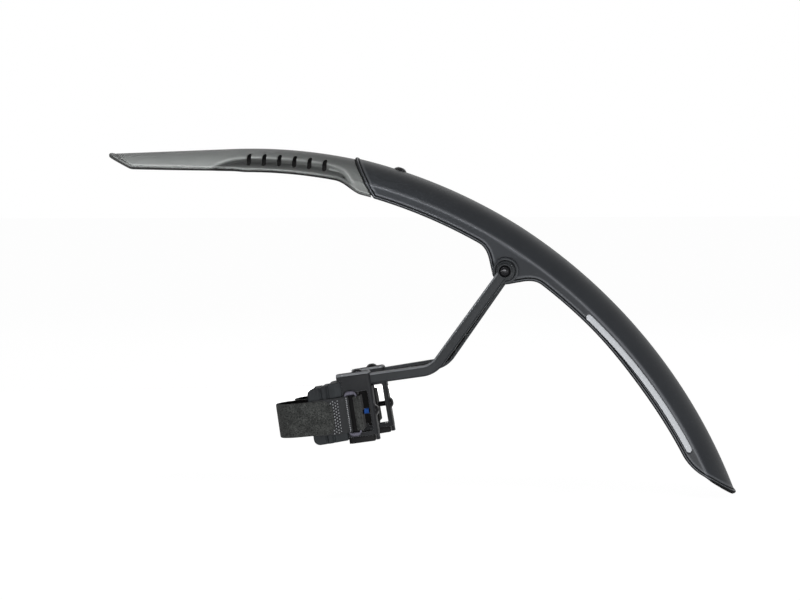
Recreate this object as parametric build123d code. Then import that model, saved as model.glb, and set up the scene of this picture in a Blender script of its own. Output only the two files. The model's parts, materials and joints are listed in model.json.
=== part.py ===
from build123d import *
import math
import os

# A strap-on front mudguard for a 28-inch bicycle wheel, in millimetres and degrees.
# It is drawn about the wheel axle and then centred on its own box.
# +X runs to the rear of the bicycle, +Z up, and the left side is -Y.
# Angles on the blade are counted about the axle, from +X towards +Z.

# Blade section: a round arch, a small ledge at the crease, then a nearly upright flange
CROWN_R = 365.0
WALL = 2.0
ARCH_R = 30.0
ARCH_HALF_ANGLE = 60.0
CREASE_LEDGE = 0.7
FLANGE_SLOPE = 0.145
EDGE_DEPTH = 22.6
BEAD_HEIGHT = 1.8
BEAD_PROUD = 0.6

# Ends of the main blade: each cut leans back from the crown, measured from the inward radius
TAIL_ANGLE = 21.0
TAIL_LEAN = 50.0
TAIL_CORNER_R = 32.0
RIM_ANGLE = 76.7
RIM_LEAN = 42.0

# Ears that carry the stays
PIVOT_ANGLE = 56.4
PIVOT_DEPTH = 28.3
EAR_TIP_R = 9.0
EAR_HALF_ANGLE = 52.0
EAR_BLEND_R = 25.0
BOSS_R = 8.6
BOSS_INNER_Y = 24.6
BOSS_OUTER_Y = 30.6
RECESS_R = 6.8
RECESS_DEPTH = 1.9

# Reflective strips on the flanges
STRIP_DEPTH = 18.7
STRIP_WIDTH = 3.2
STRIP_START_ANGLE = 29.0
STRIP_END_ANGLE = 45.7
STRIP_SINK = 0.5
STRIP_PROUD = 0.3
STRIP_GAP = 0.1

# Front extension: its own, slightly tighter arc that starts at the rim, then a straight nose
EXT_CROWN_R = 346.0
EXT_STEP = 0.9
EXT_KINK = 1.3
EXT_GAP = 0.8
EXT_ARC_END = 91.9
NOSE_LENGTH = 86.0
NOSE_LEAN = 61.5
NOSE_CORNER_R = 9.0
EXT_EDGE_DEPTH = 16.2
NOSE_EDGE_DEPTH = 11.8
FLARE_DEPTH = 21.9
FLARE_TOP_ANGLE = 79.3
FLARE_FOOT_ANGLE = 76.8
FLARE_TOP_R = 18.0
FLARE_FOOT_R = 12.0
EXT_BEAD_PROUD = 0.5

# Recessed side panel and the slots that cross its crease
PANEL_SINK = 0.8
PANEL_TOP_DEPTH = 6.8
PANEL_FOOT_DEPTH = 14.0
PANEL_FRONT_ANGLE = 89.4
PANEL_REAR_ANGLE = 80.4
PANEL_REAR_FOOT_ANGLE = 77.4
PANEL_FRONT_RUN = 18.0
PANEL_CORNER_R = 6.0
SLOT_COUNT = 6
SLOT_FIRST_ANGLE = 89.5
SLOT_PITCH = 1.73
SLOT_DEPTH = 7.6
SLOT_WIDTH = 3.0
SLOT_LENGTH = 7.9
SLOT_LEAN = 3.0

# Tongue of the extension inside the blade, and the screw that clamps it
SLIDE_GAP = 0.35
TONGUE_END_ANGLE = 61.5
TONGUE_HALF_WIDTH = 20.0
TONGUE_LAP = 2.0
EXT_TRAVEL = 6.0
SCREW_ANGLE = 71.8
TONGUE_SLOT_GAP = 0.3
SPOT_FACE_DEPTH = 0.5
SADDLE_R = 7.0
SADDLE_HEIGHT = 3.2

# Screws: shank radius, button head radius and height, hexagon socket across its flats, nut
M5_SHANK_R = 2.5
M5_HEAD_R = 4.75
M5_HEAD_HEIGHT = 2.75
M5_SOCKET = 3.0
M5_NUT_FLATS = 8.0
M5_NUT_HEIGHT = 4.0
M4_SHANK_R = 2.0
M4_HEAD_R = 3.8
M4_HEAD_HEIGHT = 2.2
M4_SOCKET = 2.5
M4_NUT_FLATS = 7.0
M4_NUT_HEIGHT = 2.2
SOCKET_DEPTH_SHARE = 0.6
HOLE_GAP = 0.15

# Stays: moulded channel bars that stand outside the ears
STAY_Y = 36.0
STAY_THICK = 8.0
STAY_HEIGHT = 7.0
STAY_RUN = 80.3
STAY_SLOPE = 53.8
END_SLOPE = 8.2
BEND_R = 16.0
CLAMP_REACH = 52.7
STAY_END = 8.2
STAY_CHAMFER = 1.1
CHANNEL_WIDTH = 3.6
CHANNEL_DEPTH = 5.4
CHANNEL_FROM_PIVOT = 8.0
CHANNEL_FROM_CLAMP = 15.0
RIB_PITCH = 12.0
RIB_THICK = 1.2
EYE_R = 4.8
EYE_SHOULDER_R = 6.2
EYE_SHOULDER_TOP = 35.0
EYE_POCKET_R = 4.1
EYE_POCKET_DEPTH = 1.6
WASHER_THICK = 0.6
PIVOT_GAP = 0.2
INSERT_R = 3.4
RIGHT_STAY_SET = 1.2

# Clamps: each is drawn about the middle of its sleeve, with x along the stay's end run,
# z square to it and y outward at minus. The sheet is folded over the stay and down both sides.
SHEET = 1.8
SLEEVE_LENGTH = 22.4
SLEEVE_SIDE_GAP = 0.2
SLEEVE_TOP_GAP = 0.25
SLEEVE_ROUND = 2.5
SLEEVE_LIP = 0.9
PLATE_FRONT = -8.5
PLATE_FOOT = -36.7
PLATE_ROUND = 2.0
WINDOW_FRONT = -5.5
WINDOW_REAR = 8.2
WINDOW_TOP = -7.0
WINDOW_FOOT = -34.2
WINDOW_ROUND = 1.0
REAR_PLATE_TOP = -5.0
REAR_TAB_FOOT = -40.5
REAR_TAB_WIDTH = 6.0
CLAMP_SCREW_X = 2.4
CLAMP_TRAVEL = 5.0
STAY_SLOT_GAP = 0.3
PAD_SCREW_Z = -21.0

# Pad, its carrier and the space that they leave for the fork leg
LEG_R = 13.0
LEG_X = -38.5
PAD_FRONT = -30.4
PAD_REAR = -8.7
PAD_TOP_REAR = 0.5
PAD_TOP_FRONT = -2.6
PAD_FOOT_REAR = -36.6
PAD_FOOT_FRONT = -37.6
PAD_HALF_WIDTH = 11.4
PAD_REAR_HALF_WIDTH = 6.4
PAD_WAIST_X = -13.0
PAD_WAIST_HALF_WIDTH = 7.6
PAD_SHOULDER_X = -20.0
PAD_CORNER_R = 6.0
PAD_GROOVES_X = (-22.2, -17.6)
PAD_GROOVE_WIDTH = 1.5
PAD_GROOVE_DEPTH = 1.1
CARRIER_GAP = 0.2
CARRIER_REAR = 1.0
CARRIER_TOP = -6.6
CARRIER_KEY_FRONT = -16.0
CARRIER_KEY_HEIGHT = 12.0
FOOT_TOP = -37.0
FOOT_BOTTOM = -40.8
FOOT_FRONT = -7.2
FOOT_REAR = 8.4
FOOT_HALF_WIDTH = 5.6

# Strap, hook tab and ring; the strap crosses the clamp behind the carrier
STRAP_Z = -21.0
STRAP_WIDTH = 22.0
STRAP_THICK = 1.4
STRAP_LIE = 0.2
STRAP_END_X = -15.5
STRAP_END_R = 6.5
STRAP_EYELET_R = 2.6
TAB_THICK = 1.2
TAB_FRONT = -28.0
TAB_FOLD_END = -13.0
RING_FRONT_BAR_X = -6.9
RING_REAR_BAR_X = 0.4
RING_BAR = 1.4
RING_END_BAR = 2.8
RING_GAP = 0.2
RING_ROUND = 0.35
RING_LIE = 0.2
RING_STAND_OFF = 1.6
RING_CORNER_R = 3.0

# Sizes that follow from those above
WHEEL_AXIS = Axis((0, 0, 0), (0, -1, 0))
CUT_PAST = 10.0
LEFT_FLANGE = (10.0, 60.0)
EDGE_R = CROWN_R - EDGE_DEPTH
SKIRT_DEPTH = PIVOT_DEPTH + EAR_TIP_R + 6.0
STAY_INNER_Y = STAY_Y - STAY_THICK / 2
STAY_OUTER_Y = STAY_Y + STAY_THICK / 2
RECESS_Y = BOSS_OUTER_Y - RECESS_DEPTH
SLEEVE_HALF = SLEEVE_LENGTH / 2
SLEEVE_INNER_HALF_Y = STAY_THICK / 2 + SLEEVE_SIDE_GAP
SLEEVE_OUTER_HALF_Y = SLEEVE_INNER_HALF_Y + SHEET
SLEEVE_CEILING = STAY_HEIGHT / 2 + SLEEVE_TOP_GAP
SLEEVE_TOP = SLEEVE_CEILING + SHEET
STRAP_LEG_R = LEG_R + STRAP_THICK / 2
RING_Y = SLEEVE_OUTER_HALF_Y + RING_STAND_OFF + RING_BAR / 2
TAB_Y = STRAP_LEG_R - STRAP_THICK / 2 - STRAP_LIE - TAB_THICK / 2


def polar(radius, angle, centre=(0.0, 0.0)):
    """Point of the side view at a radius and an angle about a centre."""
    turn = math.radians(angle)
    return (centre[0] + radius * math.cos(turn), centre[1] + radius * math.sin(turn))


def step(point, angle, length):
    """Point of the side view a length away from another, in the direction of an angle."""
    return polar(length, angle, point)


def polygon(points):
    """Flat face with straight sides."""
    return make_face(Polyline(*points, close=True))


def side_prism(face, half_width=80.0):
    """Face of the side view drawn out to both sides of the middle plane."""
    return extrude(Plane.XZ * face, half_width, both=True)


def left_prism(face, inner_y, outer_y):
    """Face of the side view drawn out on the left, between two distances from the middle plane."""
    return extrude(Plane.XZ.offset(inner_y) * face, outer_y - inner_y)


def left_rod(point, radius, inner_y, outer_y):
    """Round rod across the side view, on the left of the middle plane."""
    return left_prism(Pos(*point) * Circle(radius), inner_y, outer_y)


def block(x, y, z):
    """Box between two values on each axis."""
    size = (x[1] - x[0], y[1] - y[0], z[1] - z[0])
    return Pos((x[0] + x[1]) / 2, (y[0] + y[1]) / 2, (z[0] + z[1]) / 2) * Box(*size)


def near(vertices, point, reach):
    """Those vertices that lie within a reach of a point of the side view."""
    return [v for v in vertices if math.hypot(v.X - point[0], v.Y - point[1]) < reach]


def button_screw(shank_r, length, head_r, head_height, socket):
    """Button-head screw along Z with the head's seat at zero and the shank below it."""
    dome_r = (head_r ** 2 + head_height ** 2) / (2 * head_height)
    dome = Pos(0, 0, head_height - dome_r) * Sphere(dome_r)
    head = dome & Pos(0, 0, head_height / 2) * Cylinder(head_r, head_height)
    shank = Pos(0, 0, -length / 2) * Cylinder(shank_r, length)
    key_depth = head_height * SOCKET_DEPTH_SHARE
    key = extrude(Pos(0, 0, head_height - key_depth) * hexagon(socket), head_height)
    return head + shank - key


def hexagon(flats):
    """Flat hexagon by its width across flats."""
    return RegularPolygon(flats / 2, 6, major_radius=False)


def arch_profile(crown_r, offset, ledge):
    """Filled section under the blade's skin, moved out by offset, drawn as radius and width."""
    radius = ARCH_R + offset
    centre_r = crown_r - ARCH_R
    half = radius * math.sin(math.radians(ARCH_HALF_ANGLE))
    crease_r = centre_r + radius * math.cos(math.radians(ARCH_HALF_ANGLE))
    foot_r = crown_r - SKIRT_DEPTH
    foot_half = half + ledge + (crease_r - foot_r) * FLANGE_SLOPE
    side = [(crease_r, half), (crease_r, half + ledge), (foot_r, foot_half)]
    if ledge == 0:
        side = [(crease_r, half), (foot_r, foot_half)]
    other_side = [(r, -y) for r, y in reversed(side)]
    return make_face(arch_curve(centre_r, radius) + Polyline(*side, *other_side))


def arch_curve(centre_r, radius):
    """Crown of the section as one smooth curve from crease to crease."""
    angles = [ARCH_HALF_ANGLE * share / 3 for share in range(-3, 4)]
    points = [polar(radius, angle, (centre_r, 0)) for angle in angles]
    ends = [polar(1, angle + 90) for angle in (angles[0], angles[-1])]
    return Spline(*points, tangents=ends)


def at_angle(profile, angle):
    """Section stood up on the wheel's arc at an angle."""
    return Rot(0, -angle, 0) * profile


def blade_core(offset, start=TAIL_ANGLE - 6, end=RIM_ANGLE + 6):
    """Solid under the main blade's skin moved out by offset."""
    profile = arch_profile(CROWN_R, offset, CREASE_LEDGE)
    return revolve(at_angle(profile, start), WHEEL_AXIS, end - start)


def pivot_point():
    """Axis of the stay pivots in the side view."""
    return polar(CROWN_R - PIVOT_DEPTH, PIVOT_ANGLE)


def rim_line(forward=0.0):
    """Two points on the rim cut, moved forward along the crown by a gap."""
    crown = step(polar(CROWN_R, RIM_ANGLE), RIM_ANGLE + 90, forward)
    lean = RIM_ANGLE + 180 + RIM_LEAN
    return step(crown, lean, -40), step(crown, lean, 80)


def ear_face(inset):
    """V of the ear with its round tip about the pivot, drawn on past the flange's edge."""
    tip_r = EAR_TIP_R - inset
    rise = PIVOT_DEPTH - EDGE_DEPTH + EAR_TIP_R
    apex = -tip_r / math.sin(math.radians(EAR_HALF_ANGLE))
    spread = (rise - apex) * math.tan(math.radians(EAR_HALF_ANGLE))
    vee = polygon([(0, apex), (spread, rise), (-spread, rise)])
    vee = fillet(near(vee.vertices(), (0, apex), 0.1), tip_r)
    return Pos(*pivot_point()) * Rot(0, 0, PIVOT_ANGLE - 90) * vee


def blade_outline(inset=0.0):
    """Side view of the main blade, open above the crown: both cuts, the edge and the ear."""
    edge_r = EDGE_R + inset
    tail_lean = TAIL_ANGLE + 180 - TAIL_LEAN
    tail_inset = inset / math.cos(math.radians(TAIL_LEAN))
    tail = step(polar(CROWN_R, TAIL_ANGLE), TAIL_ANGLE + 90, tail_inset)
    rim_top, rim_foot = rim_line(-inset / math.cos(math.radians(RIM_LEAN)))
    limits = polygon([
        rim_top,
        rim_foot,
        step(tail, tail_lean, 80),
        step(tail, tail_lean, -40),
        polar(CROWN_R * 1.3, (TAIL_ANGLE + RIM_ANGLE) / 2),
    ])
    outline = ((Circle(CROWN_R + 10) - Circle(edge_r)) & limits) + ear_face(inset)
    ear_corners = near(edge_vertices(outline, edge_r), pivot_point(), 40)
    outline = fillet(ear_corners, EAR_BLEND_R + inset)
    tail_corner = sorted(edge_vertices(outline, edge_r), key=lambda v: v.Y)[0]
    return fillet([tail_corner], TAIL_CORNER_R - inset)


def edge_vertices(outline, edge_r):
    """Those corners of an outline that lie on the flange's edge."""
    return [v for v in outline.vertices() if abs(math.hypot(v.X, v.Y) - edge_r) < 0.01]


def strip_face(width_gap):
    """Pill of a reflective strip in the side view, widened by a gap."""
    radius = CROWN_R - STRIP_DEPTH
    middle = (STRIP_START_ANGLE + STRIP_END_ANGLE) / 2
    arc = ThreePointArc(
        polar(radius, STRIP_START_ANGLE), polar(radius, middle), polar(radius, STRIP_END_ANGLE)
    )
    width = STRIP_WIDTH + 2 * width_gap
    pill = trace(arc, width)
    pill += Pos(*polar(radius, STRIP_START_ANGLE)) * Circle(width / 2)
    pill += Pos(*polar(radius, STRIP_END_ANGLE)) * Circle(width / 2)
    return pill


def screw_axis(height):
    """Frame at the crown screw, with Z outward along the radius and zero at a height on it."""
    x, z = polar(CROWN_R + height, SCREW_ANGLE)
    return Pos(x, 0, z) * Rot(0, 90 - SCREW_ANGLE, 0)


def main_blade():
    """Moulded blade with its edge bead, ears, strip recesses and screw hole."""
    outline = blade_outline()
    skin = blade_core(0) - blade_core(-WALL)
    blade = skin & side_prism(outline)
    bead = blade_core(BEAD_PROUD) - blade_core(-WALL / 2)
    blade += bead & side_prism(outline - blade_outline(BEAD_HEIGHT))
    pivot = pivot_point()
    for mirrored in (False, True):
        boss = left_rod(pivot, BOSS_R, BOSS_INNER_Y, BOSS_OUTER_Y)
        recess = left_rod(pivot, RECESS_R, RECESS_Y, BOSS_OUTER_Y + CUT_PAST)
        hole = left_rod(pivot, INSERT_R, BOSS_INNER_Y - CUT_PAST, RECESS_Y + 1)
        pocket = blade_core(BEAD_PROUD + 1) - blade_core(-STRIP_SINK)
        pocket &= left_prism(strip_face(STRIP_GAP), *LEFT_FLANGE)
        cuts = [recess, hole, pocket]
        if mirrored:
            boss = mirror(boss, about=Plane.XZ)
            cuts = [mirror(cut, about=Plane.XZ) for cut in cuts]
        blade += boss
        for cut in cuts:
            blade -= cut
    blade -= screw_axis(-SPOT_FACE_DEPTH) * Pos(0, 0, 5) * Cylinder(M5_HEAD_R + 0.4, 10)
    blade -= screw_axis(0) * Cylinder(M5_SHANK_R + HOLE_GAP, 12)
    return blade


def reflector_strip():
    """Left reflective strip, sunk in its recess and a little proud of the flange."""
    shell = blade_core(STRIP_PROUD) - blade_core(-STRIP_SINK)
    return shell & left_prism(strip_face(0), *LEFT_FLANGE)


def ext_centre():
    """Centre of the extension's own arc, which meets the crown just inside the rim."""
    start = polar(CROWN_R - EXT_STEP, RIM_ANGLE)
    return step(start, RIM_ANGLE + EXT_KINK, -EXT_CROWN_R)


def ext_core(offset):
    """Solid under the extension's skin moved out by offset: the arc and the straight nose."""
    profile = arch_profile(EXT_CROWN_R, offset, 0)
    start = RIM_ANGLE - 8
    arc = revolve(at_angle(profile, start), WHEEL_AXIS, EXT_ARC_END - start)
    turn = math.radians(EXT_ARC_END)
    along = (-math.sin(turn), 0, math.cos(turn))
    nose = extrude(at_angle(profile, EXT_ARC_END), NOSE_LENGTH + 20, dir=along)
    x, z = ext_centre()
    return Pos(x, 0, z) * (arc + nose)


def ext_polar(depth, angle):
    """Point of the side view by its depth under the extension's crown and its angle."""
    return polar(EXT_CROWN_R - depth, angle, ext_centre())


def nose_point(run, depth):
    """Point of the side view along the straight nose, by its run from the arc and its depth."""
    return step(ext_polar(depth, EXT_ARC_END), EXT_ARC_END + 90, run)


def ext_outline():
    """Side view of the extension, open above the crown: nose cut, edge and flare to the rim."""
    tip = nose_point(NOSE_LENGTH, 0)
    nose_lean = EXT_ARC_END + 180 + NOSE_LEAN
    nose_depth_run = NOSE_EDGE_DEPTH * math.tan(math.radians(NOSE_LEAN))
    nose_corner = nose_point(NOSE_LENGTH - nose_depth_run, NOSE_EDGE_DEPTH)
    edge_start = ext_polar(EXT_EDGE_DEPTH, EXT_ARC_END)
    flare_top = ext_polar(EXT_EDGE_DEPTH, FLARE_TOP_ANGLE)
    flare_foot = ext_polar(FLARE_DEPTH, FLARE_FOOT_ANGLE)
    rim_top, rim_foot = rim_line(EXT_GAP)
    lower = ext_polar(FLARE_DEPTH, RIM_ANGLE - 6)
    middle = ext_polar(EXT_EDGE_DEPTH, (EXT_ARC_END + FLARE_TOP_ANGLE) / 2)
    above = step(tip, 90, 40)
    edge = Polyline(step(tip, nose_lean, -30), nose_corner, edge_start)
    edge += ThreePointArc(edge_start, middle, flare_top)
    edge += Polyline(flare_top, flare_foot, lower, step(rim_top, 0, 60), step(above, 180, 40))
    edge += Line(step(above, 180, 40), step(tip, nose_lean, -30))
    outline = make_face(edge)
    outline = fillet(near(outline.vertices(), nose_corner, 0.1), NOSE_CORNER_R)
    outline = fillet(near(outline.vertices(), flare_top, 0.1), FLARE_TOP_R)
    outline = fillet(near(outline.vertices(), flare_foot, 0.1), FLARE_FOOT_R)
    behind_rim = polygon([rim_top, rim_foot, step(rim_foot, 0, 120), step(rim_top, 0, 120)])
    return outline - behind_rim


def panel_face():
    """Recessed panel in the side view, from a point on the nose to the flare."""
    front = nose_point(PANEL_FRONT_RUN, PANEL_FOOT_DEPTH - 2)
    top_front = ext_polar(PANEL_TOP_DEPTH, PANEL_FRONT_ANGLE)
    top_rear = ext_polar(PANEL_TOP_DEPTH, PANEL_REAR_ANGLE)
    rear_foot = ext_polar(PANEL_FOOT_DEPTH, PANEL_REAR_FOOT_ANGLE)
    foot_front = ext_polar(PANEL_FOOT_DEPTH, EXT_ARC_END)
    top_middle = ext_polar(PANEL_TOP_DEPTH, (PANEL_FRONT_ANGLE + PANEL_REAR_ANGLE) / 2)
    foot_middle = ext_polar(PANEL_FOOT_DEPTH, (EXT_ARC_END + PANEL_REAR_FOOT_ANGLE) / 2)
    edge = Line(front, top_front) + ThreePointArc(top_front, top_middle, top_rear)
    edge += Line(top_rear, rear_foot) + ThreePointArc(rear_foot, foot_middle, foot_front)
    edge += Line(foot_front, front)
    panel = make_face(edge)
    panel = fillet(near(panel.vertices(), top_front, 0.1), PANEL_CORNER_R * 4)
    return fillet(near(panel.vertices(), top_rear, 0.1), PANEL_CORNER_R)


def extension_slots():
    """Row of slots through both side walls of the extension."""
    slots = Sketch()
    for i in range(SLOT_COUNT):
        angle = SLOT_FIRST_ANGLE - i * SLOT_PITCH
        place = Pos(*ext_polar(SLOT_DEPTH, angle)) * Rot(0, 0, angle - SLOT_LEAN)
        slots += place * SlotOverall(SLOT_LENGTH, SLOT_WIDTH)
    return side_prism(slots)


def tongue():
    """Inner tongue of the extension, concentric with the blade, with its crown slot."""
    outer = -WALL - SLIDE_GAP
    arch = blade_core(outer, TONGUE_END_ANGLE, RIM_ANGLE + TONGUE_LAP)
    arch -= blade_core(outer - WALL, TONGUE_END_ANGLE, RIM_ANGLE + TONGUE_LAP)
    arch &= block((0, 400), (-TONGUE_HALF_WIDTH, TONGUE_HALF_WIDTH), (0, 400))
    middle = SCREW_ANGLE - EXT_TRAVEL / 2
    run = 2 * CROWN_R * math.sin(math.radians(EXT_TRAVEL / 2))
    slot = SlotCenterToCenter(run, 2 * (M5_SHANK_R + TONGUE_SLOT_GAP))
    x, z = polar(CROWN_R, middle)
    return arch - Pos(x, 0, z) * Rot(0, 90 - middle, 0) * extrude(slot, 20, both=True)


def front_extension():
    """Moulded extension: arched nose with side panels and slots, flared to the blade's rim."""
    outline = ext_outline()
    shell = (ext_core(0) - ext_core(-WALL)) & side_prism(outline)
    bead = ext_core(EXT_BEAD_PROUD) - ext_core(-WALL / 2)
    shell += bead & side_prism(outline - offset(outline, -BEAD_HEIGHT))
    shell += tongue()
    shell -= (ext_core(BEAD_PROUD) - ext_core(-PANEL_SINK)) & side_prism(panel_face())
    return shell - extension_slots()


def extension_screw():
    """Screw through the crown that clamps the tongue."""
    length = 2 * WALL + SLIDE_GAP + SADDLE_HEIGHT + M5_NUT_HEIGHT + 1.0
    screw = button_screw(M5_SHANK_R, length, M5_HEAD_R, M5_HEAD_HEIGHT, M5_SOCKET)
    return screw_axis(-SPOT_FACE_DEPTH) * screw


def saddle_level():
    """Height on the screw's axis where the saddle's flat foot lies."""
    return -2 * WALL - 2 * SLIDE_GAP - SADDLE_HEIGHT


def extension_saddle():
    """Saddle washer under the tongue: arched on top, flat below for the nut."""
    start = SCREW_ANGLE - 3
    arch = blade_core(-2 * WALL - 2 * SLIDE_GAP, start, SCREW_ANGLE + 3)
    post = screw_axis(saddle_level()) * Pos(0, 0, 10) * Cylinder(SADDLE_R, 20)
    bore = screw_axis(0) * Cylinder(M5_SHANK_R + HOLE_GAP, 60)
    return (arch & post) - bore


def extension_nut():
    """Nut under the saddle."""
    nut = extrude(hexagon(M5_NUT_FLATS), -M5_NUT_HEIGHT) - Cylinder(M5_SHANK_R + 0.05, 20)
    return screw_axis(saddle_level()) * nut


def stay_path(from_pivot=0.0, to_end=0.0):
    """Middle line of a stay in the side view, shortened at either end."""
    start = step(pivot_point(), STAY_SLOPE + 180, from_pivot)
    end = step(clamp_point(), END_SLOPE, to_end - STAY_END)
    return FilletPolyline(start, bend_point(), end, radius=BEND_R)


def bend_point():
    """Corner of the stay's middle line."""
    return step(pivot_point(), STAY_SLOPE + 180, STAY_RUN)


def clamp_point():
    """Middle of the sleeve in the side view."""
    return step(bend_point(), END_SLOPE + 180, CLAMP_REACH)


def channel_ribs():
    """Cross ribs in the stay's channel, in the side view."""
    ribs = Sketch()
    runs = (
        (pivot_point(), STAY_SLOPE + 180, CHANNEL_FROM_PIVOT, STAY_RUN),
        (bend_point(), END_SLOPE + 180, RIB_PITCH, CLAMP_REACH - CHANNEL_FROM_CLAMP),
    )
    for start, angle, first, last in runs:
        for i in range(1, int((last - first) / RIB_PITCH) + 1):
            spot = step(start, angle, first + i * RIB_PITCH)
            ribs += Pos(*spot) * Rot(0, 0, angle) * Rectangle(RIB_THICK, CHANNEL_WIDTH + 1)
    return ribs


def stay():
    """Left stay: chamfered bar, ribbed channel on its inner side, eye and clamp slot."""
    bar = left_prism(trace(stay_path(), STAY_HEIGHT), STAY_INNER_Y, STAY_OUTER_Y)
    outer_face = bar.faces().sort_by(Axis.Y)[0]
    bar = chamfer(outer_face.edges(), STAY_CHAMFER)
    trough = trace(stay_path(CHANNEL_FROM_PIVOT, STAY_END + CHANNEL_FROM_CLAMP), CHANNEL_WIDTH)
    bar -= left_prism(trough - channel_ribs(), STAY_INNER_Y - 1, STAY_INNER_Y + CHANNEL_DEPTH)
    pivot = pivot_point()
    seat_y = RECESS_Y + WASHER_THICK + PIVOT_GAP
    bar += left_rod(pivot, EYE_R, STAY_INNER_Y, STAY_OUTER_Y)
    bar += left_rod(pivot, EYE_SHOULDER_R, seat_y, EYE_SHOULDER_TOP)
    bar -= left_rod(pivot, EYE_POCKET_R, STAY_OUTER_Y - EYE_POCKET_DEPTH, STAY_OUTER_Y + 5)
    bar -= left_rod(pivot, M4_SHANK_R + HOLE_GAP, 0, STAY_OUTER_Y + 5)
    slot_half = M4_SHANK_R + STAY_SLOT_GAP
    slot = block(
        (CLAMP_SCREW_X - CLAMP_TRAVEL - slot_half, CLAMP_SCREW_X + slot_half),
        (-slot_half, slot_half),
        (-STAY_HEIGHT, STAY_HEIGHT),
    )
    return bar - clamp_frame() * slot


def pivot_bolt():
    """Left pivot bolt, its head in the stay's eye and its shank in the ear's insert."""
    seat_y = STAY_OUTER_Y - EYE_POCKET_DEPTH + PIVOT_GAP
    bolt = button_screw(M4_SHANK_R, seat_y - BOSS_INNER_Y, M4_HEAD_R, M4_HEAD_HEIGHT, M4_SOCKET)
    x, z = pivot_point()
    return Pos(x, -seat_y, z) * Rot(90, 0, 0) * bolt


def pivot_washer():
    """Left nylon washer between the ear's recess and the stay's eye."""
    ring = Circle(EYE_SHOULDER_R) - Circle(M4_SHANK_R + HOLE_GAP)
    return left_prism(Pos(*pivot_point()) * ring, RECESS_Y, RECESS_Y + WASHER_THICK)


def pivot_insert():
    """Left threaded brass insert in the ear."""
    ring = Circle(INSERT_R) - Circle(M4_SHANK_R + 0.05)
    return left_prism(Pos(*pivot_point()) * ring, BOSS_INNER_Y, RECESS_Y)


def clamp_frame():
    """Frame of the left clamp: x along the stay's end run, z square to it."""
    x, z = clamp_point()
    return Pos(x, -STAY_Y, z) * Rot(0, -END_SLOPE, 0)


def bracket():
    """Folded sheet bracket: sleeve over the stay, two windowed plates and a rear plate."""
    half = SLEEVE_OUTER_HALF_Y
    y = (-half, half)
    inner_y = (-SLEEVE_INNER_HALF_Y, SLEEVE_INNER_HALF_Y)
    body = block((-SLEEVE_HALF, SLEEVE_HALF), y, (PLATE_FOOT, SLEEVE_TOP))
    body = fillet(body.edges().filter_by(Axis.X).group_by(Axis.Z)[-1], SLEEVE_ROUND)
    body = fillet(body.edges().filter_by(Axis.Z).group_by(Axis.X)[-1], PLATE_ROUND)
    past_y = (-half - 1, half + 1)
    front = -SLEEVE_HALF - 1
    body -= block((front, PLATE_FRONT), past_y, (PLATE_FOOT - 1, SLEEVE_LIP))
    body -= block((front, SLEEVE_HALF + 1), inner_y, (REAR_PLATE_TOP, SLEEVE_CEILING))
    body -= block((front, SLEEVE_HALF - SHEET), inner_y, (PLATE_FOOT - 1, REAR_PLATE_TOP + 1))
    window = block((WINDOW_FRONT, WINDOW_REAR), past_y, (WINDOW_FOOT, WINDOW_TOP))
    body -= fillet(window.edges().filter_by(Axis.Y), WINDOW_ROUND)
    tab_y = (-REAR_TAB_WIDTH / 2, REAR_TAB_WIDTH / 2)
    body += block((SLEEVE_HALF - SHEET, SLEEVE_HALF), tab_y, (REAR_TAB_FOOT, PLATE_FOOT + 1))
    body -= Pos(CLAMP_SCREW_X, 0, SLEEVE_TOP) * Cylinder(M4_SHANK_R + HOLE_GAP, 4 * SHEET)
    bore = Cylinder(M4_SHANK_R + HOLE_GAP, 4 * SHEET)
    return body - Pos(SLEEVE_HALF, 0, PAD_SCREW_Z) * Rot(0, 90, 0) * bore


def clamp_screw():
    """Screw on top of the sleeve, down through the stay's slot to its nut."""
    length = SLEEVE_TOP + STAY_HEIGHT / 2 + SLEEVE_TOP_GAP + M4_NUT_HEIGHT
    screw = button_screw(M4_SHANK_R, length, M4_HEAD_R, M4_HEAD_HEIGHT, M4_SOCKET)
    return Pos(CLAMP_SCREW_X, 0, SLEEVE_TOP) * screw


def clamp_nut():
    """Square nut under the stay, kept from turning by the sleeve's sides."""
    top = -STAY_HEIGHT / 2 - SLEEVE_TOP_GAP
    half = M4_NUT_FLATS / 2
    sides = (CLAMP_SCREW_X - half, CLAMP_SCREW_X + half)
    nut = block(sides, (-half, half), (top - M4_NUT_HEIGHT, top))
    return nut - Pos(CLAMP_SCREW_X, 0, 0) * Cylinder(M4_SHANK_R + 0.05, 40)


def pad_plan():
    """Pad from above: narrow at the bracket, flared to both lobes, before the leg is cut."""
    side = [
        (PAD_REAR, PAD_REAR_HALF_WIDTH),
        (PAD_WAIST_X, PAD_WAIST_HALF_WIDTH),
        (PAD_SHOULDER_X, PAD_HALF_WIDTH),
        (PAD_FRONT, PAD_HALF_WIDTH),
    ]
    return polygon(side + [(x, -y) for x, y in reversed(side)])


def pad_side():
    """Pad from the side, with its round front corners."""
    outline = polygon([
        (PAD_REAR, PAD_TOP_REAR),
        (PAD_FRONT, PAD_TOP_FRONT),
        (PAD_FRONT, PAD_FOOT_FRONT),
        (PAD_REAR, PAD_FOOT_REAR),
    ])
    return fillet([v for v in outline.vertices() if v.X < PAD_FRONT + 0.1], PAD_CORNER_R)


def pad():
    """Rubber pad with a round saddle for the fork leg and grooves that let its lobes bend."""
    body = extrude(Pos(0, 0, -60) * pad_plan(), 80) & side_prism(pad_side())
    body -= Pos(LEG_X, 0, STRAP_Z) * Cylinder(LEG_R, 100)
    for x in PAD_GROOVES_X:
        half = pad_half_width(x)
        for y in (-half, half):
            body -= Pos(x, y, STRAP_Z) * Box(PAD_GROOVE_WIDTH, 2 * PAD_GROOVE_DEPTH, 100)
    return body - carrier_key(0)


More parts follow.
